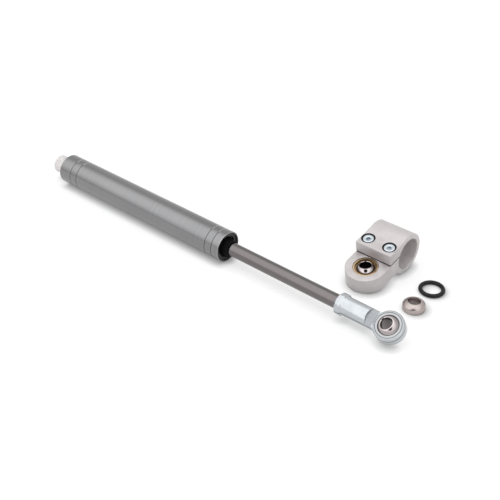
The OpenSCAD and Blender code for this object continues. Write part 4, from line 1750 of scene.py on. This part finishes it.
        # Painted shade in the slit
        near = (-self.width, -self.jaw_reach - 2.0 * FADE, self.lug_top - FADE)
        far = (self.width, 0.0, self.lug_top + self.slit + FADE)
        zones = [Zone(self.lay, near, far, self.slit_shade_tone, round=False)]
        # Painted shade round the bearing's seat
        face = self.bearing_width / 2.0 + self.face_gap + self.keeper_thickness + self.keeper_sink
        reach = self.bearing_radius + self.seat_reach
        top = face - self.seat_below
        zones.append(Zone.about(self.bearing_lay, 0.0, reach, self.seat_shade_tone, -FAR, top))
        # Painted shade in both screw wells
        reach = self.head_radius + self.well_reach
        top = self.jaw_top - self.well_below
        for side in (-1.0, 1.0):
            axis = self.screw_lay(side)
            zones.append(Zone.about(axis, 0.0, reach, self.well_shade_tone, top - self.well_depth, top))
        return tuple(zones)

    def build_screws(self, shop: Workshop) -> None:
        """Builds the two screws, with painted shade on their flanks.

        Args:
            shop: The workshop.
        """
        # Painted shade on both screws' flanks
        near = self.head_radius - self.flank_depth
        far = self.head_radius + PAST
        flanks = tuple(Zone.about(self.screw_lay(side), near, far, self.flank_shade_tone) for side in (-1.0, 1.0))
        seat = self.jaw_top - self.head_sink - self.head_height
        values = {
            "Count": 2,
            "Spacing": self.screw_spacing * MM,
            "First place": Vector((-self.screw_spacing / 2.0, -self.screw_reach, seat)) * MM,
            "Turn of each": math.radians(self.screw_turn),
        }
        zinc = shop.material("screw_zinc", self.lay, "_clamp", flanks)
        screws = shop.shape.grow("clamp_screws_dressed", self.screw_mesh(), shop.shape.row_tree, values, zinc)
        shop.shape.tidy(screws, self.lay.matrix(), 30.0)
        shop.keep(screws, "clamp", "screw_zinc", "clamp_screws")

    def build_bearing(self, shop: Workshop, frame: dict) -> None:
        """Builds the bearing's ring and ball and dresses its keeper.

        Args:
            shop: The workshop.
            frame: The loaded frame.
        """
        shape = shop.shape
        lay = self.bearing_lay
        # Painted shade on the race round the ball and at its outer edge, also on the keeper
        recess = Zone.about(lay, 0.0, self.race_inner, self.race_shade_tone)
        corner = Zone.about(lay, self.race_edge, self.bearing_radius + PAST, self.race_edge_shade_tone)
        gold = shop.material("bearing_gold", lay, "_bearing", (recess, corner))
        ring = shape.turned("bearing_ring_dressed", self.ring_profile(), gold, lay)
        shop.keep(ring, "clamp", "bearing_gold", "bearing_race")
        shop.dress(frame, "bearing_gold", ["bearing_keeper"], lay, "_bearing")
        ball = self.ball.make(shop, "clamp_ball_dressed", lay, "_bearing")
        shop.keep(ball, "pivot_ball", "ball_steel", "clamp_ball")


@dataclass
class LoosePieces:
    """The spacer and the O-ring, which lie beside the damper."""

    spacer_place: tuple[float, float] = (206.2, 37.6)
    spacer_radius: float = 7.35
    spacer_bore: float = 4.0
    spacer_height: float = 6.2
    spacer_side: float = 3.7
    dome_extra: float = 2.4
    foot_bevel: float = 0.3
    bore_bevel: float = 0.2
    lip_drop: float = 0.03
    lip_width: float = 0.14
    lip_clear: float = 0.1
    lip_depth: float = 0.25
    ring_place: tuple[float, float] = (205.1, 61.1)
    ring_bore: float = 6.0
    cord: float = 2.8

    def spacer_profile(self) -> Profile:
        """Gives the spacer's section, from its foot up over the dome and back down the bore.

        Returns:
            The closed section.
        """
        r = self.spacer_radius
        bore = self.spacer_bore
        rise = self.spacer_height - self.spacer_side
        run = r - bore
        chord = math.hypot(run, rise)
        dome = (run**2 + rise**2) / (2.0 * rise) + self.dome_extra
        back = math.sqrt(dome**2 - chord**2 / 4.0)
        across = (r + bore) / 2.0 - back / chord * rise
        height = self.spacer_side + rise / 2.0 - back / chord * run
        start = math.degrees(math.atan2(r - across, self.spacer_side - height))
        end = math.degrees(math.atan2(bore - across, self.spacer_height - height))
        lip = (self.spacer_height - self.lip_drop, bore + self.lip_width)
        over = [p for p in arc((height, across), dome, start, end, 16)[:-1] if p[1] > lip[1] + self.lip_clear]
        foot = self.foot_bevel
        inside = self.bore_bevel
        return [
            (0.0, bore + inside), (0.0, r - foot), (foot, r), *over, lip,
            (self.spacer_height - self.lip_depth, bore), (inside, bore),
        ]

    def build(self, shop: Workshop, frame: dict) -> None:
        """Builds the spacer and the O-ring.

        Args:
            shop: The workshop.
            frame: The loaded frame. Not used.
        """
        shape = shop.shape
        lay = Lay((*self.spacer_place, FLOOR), 0.0, upright=True)
        steel = shop.material("spacer_steel", lay, "_spacer")
        spacer = shape.turned("spacer_dressed", self.spacer_profile(), steel, lay)
        shop.keep(spacer, "spacer", "spacer_steel", "spacer")
        half = self.cord / 2.0
        values = {"Ring radius": (self.ring_bore + half) * MM, "Cord radius": half * MM}
        empty = bpy.data.meshes.new("o_ring_start")
        ring = shape.grow("o_ring_dressed", empty, shape.cord_tree, values, shop.material("seal_black"))
        shape.tidy(ring, Lay((*self.ring_place, FLOOR + half)).matrix())
        shop.keep(ring, "o_ring", "seal_black", "loose_o_ring")


# Studio


@dataclass
class Studio:
    """Floor, light and camera."""

    floor_side: float = 8.0
    floor_white: float = 0.84
    floor_white_seen: float = 0.38
    floor_glow: float = 0.58
    # Reach, depth and lean of the painted contact shadow in the floor's colour
    contact_reach: float = 6.0
    contact_shadow_depth: float = 0.8
    contact_lean: Point = (-0.5, -0.12, 0.86)
    ambient: float = 0.88
    key: float = 1.0
    key_from: Point = (0.117, -0.478, 0.87)
    key_inner: float = 43.0
    key_outer: float = 74.0
    shade_from: Point = (0.41, -0.71, 0.57)
    shade_inner: float = 18.0
    shade_outer: float = 25.0
    camera_at: Point = (425.16, -375.29, 352.7)
    look_at: Point = (84.87, 18.92, -11.0)
    focal_pixels: float = 913.9

    def set_camera(self) -> None:
        """Places the camera as in the photograph."""
        data = bpy.data.cameras.new("photo_camera")
        data.sensor_width = SENSOR_MM
        data.sensor_fit = "HORIZONTAL"
        data.lens = self.focal_pixels / PICTURE * SENSOR_MM
        data.clip_start = 0.01
        data.clip_end = 50.0
        camera = put_in_scene("photo_camera", data)
        place = Vector(self.camera_at) * MM
        aim = (Vector(self.look_at) * MM - place).to_track_quat("-Z", "Y")
        camera.matrix_world = Matrix.Translation(place) @ aim.to_matrix().to_4x4()
        bpy.context.scene.camera = camera
        log.info("camera of %.1f mm at %s", data.lens, tuple(round(v, 3) for v in place))

    def set_floor(self) -> None:
        """Makes the pale floor, with a painted contact shadow in its colour close to what lies on it.

        Where the camera or a mirror sees it, it is darker but glows, so that it is white with soft shadows.
        """
        side = self.floor_side / 2.0
        height = FLOOR * MM
        mesh = bpy.data.meshes.new("floor")
        mesh.from_pydata(
            [(-side, -side, height), (side, -side, height), (side, side, height), (-side, side, height)],
            [],
            [(0, 1, 2, 3)],
        )
        material = bpy.data.materials.new("floor_white")
        material.use_nodes = True
        tree = material.node_tree
        tree.nodes.clear()
        # Painted contact shadow: ambient occlusion darkens the floor's colour and glow near what lies on it
        reach = {"Distance": self.contact_reach * MM}
        near = add_node(tree, "ShaderNodeAmbientOcclusion", {"samples": 8}, reach)
        lean = add_node(tree, "ShaderNodeCombineXYZ")
        for socket, value in zip(lean.inputs, Vector(self.contact_lean).normalized()):
            socket.default_value = value
        tree.links.new(lean.outputs[0], near.inputs["Normal"])
        depth = self.contact_shadow_depth
        contact_shadow = calculate(tree, "MULTIPLY_ADD", near.outputs["AO"], depth, 1.0 - depth)
        path = add_node(tree, "ShaderNodeLightPath")
        seen = calculate(tree, "MAXIMUM", path.outputs["Is Glossy Ray"], path.outputs["Is Transmission Ray"])
        seen = calculate(tree, "MAXIMUM", path.outputs["Is Camera Ray"], seen)
        matt = add_node(tree, "ShaderNodeBsdfDiffuse")
        less = self.floor_white_seen - self.floor_white
        white = calculate(tree, "MULTIPLY_ADD", seen, less, self.floor_white)
        tree.links.new(calculate(tree, "MULTIPLY", contact_shadow, white), matt.inputs["Color"])
        glow = add_node(tree, "ShaderNodeEmission", inputs={"Color": (1.0, 1.0, 1.0, 1.0)})
        light = calculate(tree, "MULTIPLY", seen, self.floor_glow)
        tree.links.new(calculate(tree, "MULTIPLY", light, contact_shadow), glow.inputs["Strength"])
        both = add_node(tree, "ShaderNodeAddShader")
        result = add_node(tree, "ShaderNodeOutputMaterial")
        tree.links.new(matt.outputs[0], both.inputs[0])
        tree.links.new(glow.outputs[0], both.inputs[1])
        tree.links.new(both.outputs[0], result.inputs["Surface"])
        mesh.materials.append(material)
        floor = put_in_scene("floor", mesh)

    def set_light(self) -> None:
        """Makes the soft light tent: a dome with a broad brighter part and a dark opening for the lens."""
        world = bpy.data.worlds.new("light_tent")
        world.use_nodes = True
        tree = world.node_tree
        tree.nodes.clear()
        way = add_node(tree, "ShaderNodeTexCoord")
        masks = []
        for centre, inner, outer in (
            (self.key_from, self.key_inner, self.key_outer),
            (self.shade_from, self.shade_inner, self.shade_outer),
        ):
            facing = add_node(
                tree, "ShaderNodeVectorMath", {"operation": "DOT_PRODUCT"}, {1: Vector(centre).normalized()}
            )
            tree.links.new(way.outputs["Generated"], facing.inputs[0])
            low, high = (math.cos(math.radians(angle)) for angle in (outer, inner))
            masks.append(smooth_step(tree, facing.outputs["Value"], low, high))
        light = calculate(tree, "MULTIPLY_ADD", masks[0], self.key, self.ambient)
        light = calculate(tree, "MULTIPLY", light, calculate(tree, "SUBTRACT", 1.0, masks[1]))
        path = add_node(tree, "ShaderNodeLightPath")
        shown = add_node(tree, "ShaderNodeMix", {"data_type": "FLOAT"})
        shown.inputs["B"].default_value = 1.0
        tree.links.new(path.outputs["Is Camera Ray"], shown.inputs["Factor"])
        tree.links.new(light, shown.inputs["A"])
        sky = add_node(tree, "ShaderNodeBackground", inputs={"Color": (1.0, 1.0, 1.0, 1.0)})
        tree.links.new(shown.outputs["Result"], sky.inputs["Strength"])
        result = add_node(tree, "ShaderNodeOutputWorld")
        tree.links.new(sky.outputs[0], result.inputs["Surface"])
        bpy.context.scene.world = world

    def build(self) -> None:
        """Sets up camera, floor and light."""
        bpy.context.scene.view_settings.view_transform = "Standard"
        self.set_camera()
        self.set_floor()
        self.set_light()


def main() -> None:
    """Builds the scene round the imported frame."""
    logging.basicConfig(level=logging.INFO, format="%(message)s")
    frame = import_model()
    Studio().build()
    shop = Workshop()
    for part in (Barrel(), RodAndAdjuster(), RodEnd(), TubeClamp(), LoosePieces()):
        part.build(shop, frame)
        log.info("%s is done", type(part).__name__)


if __name__ == "__main__":
    main()
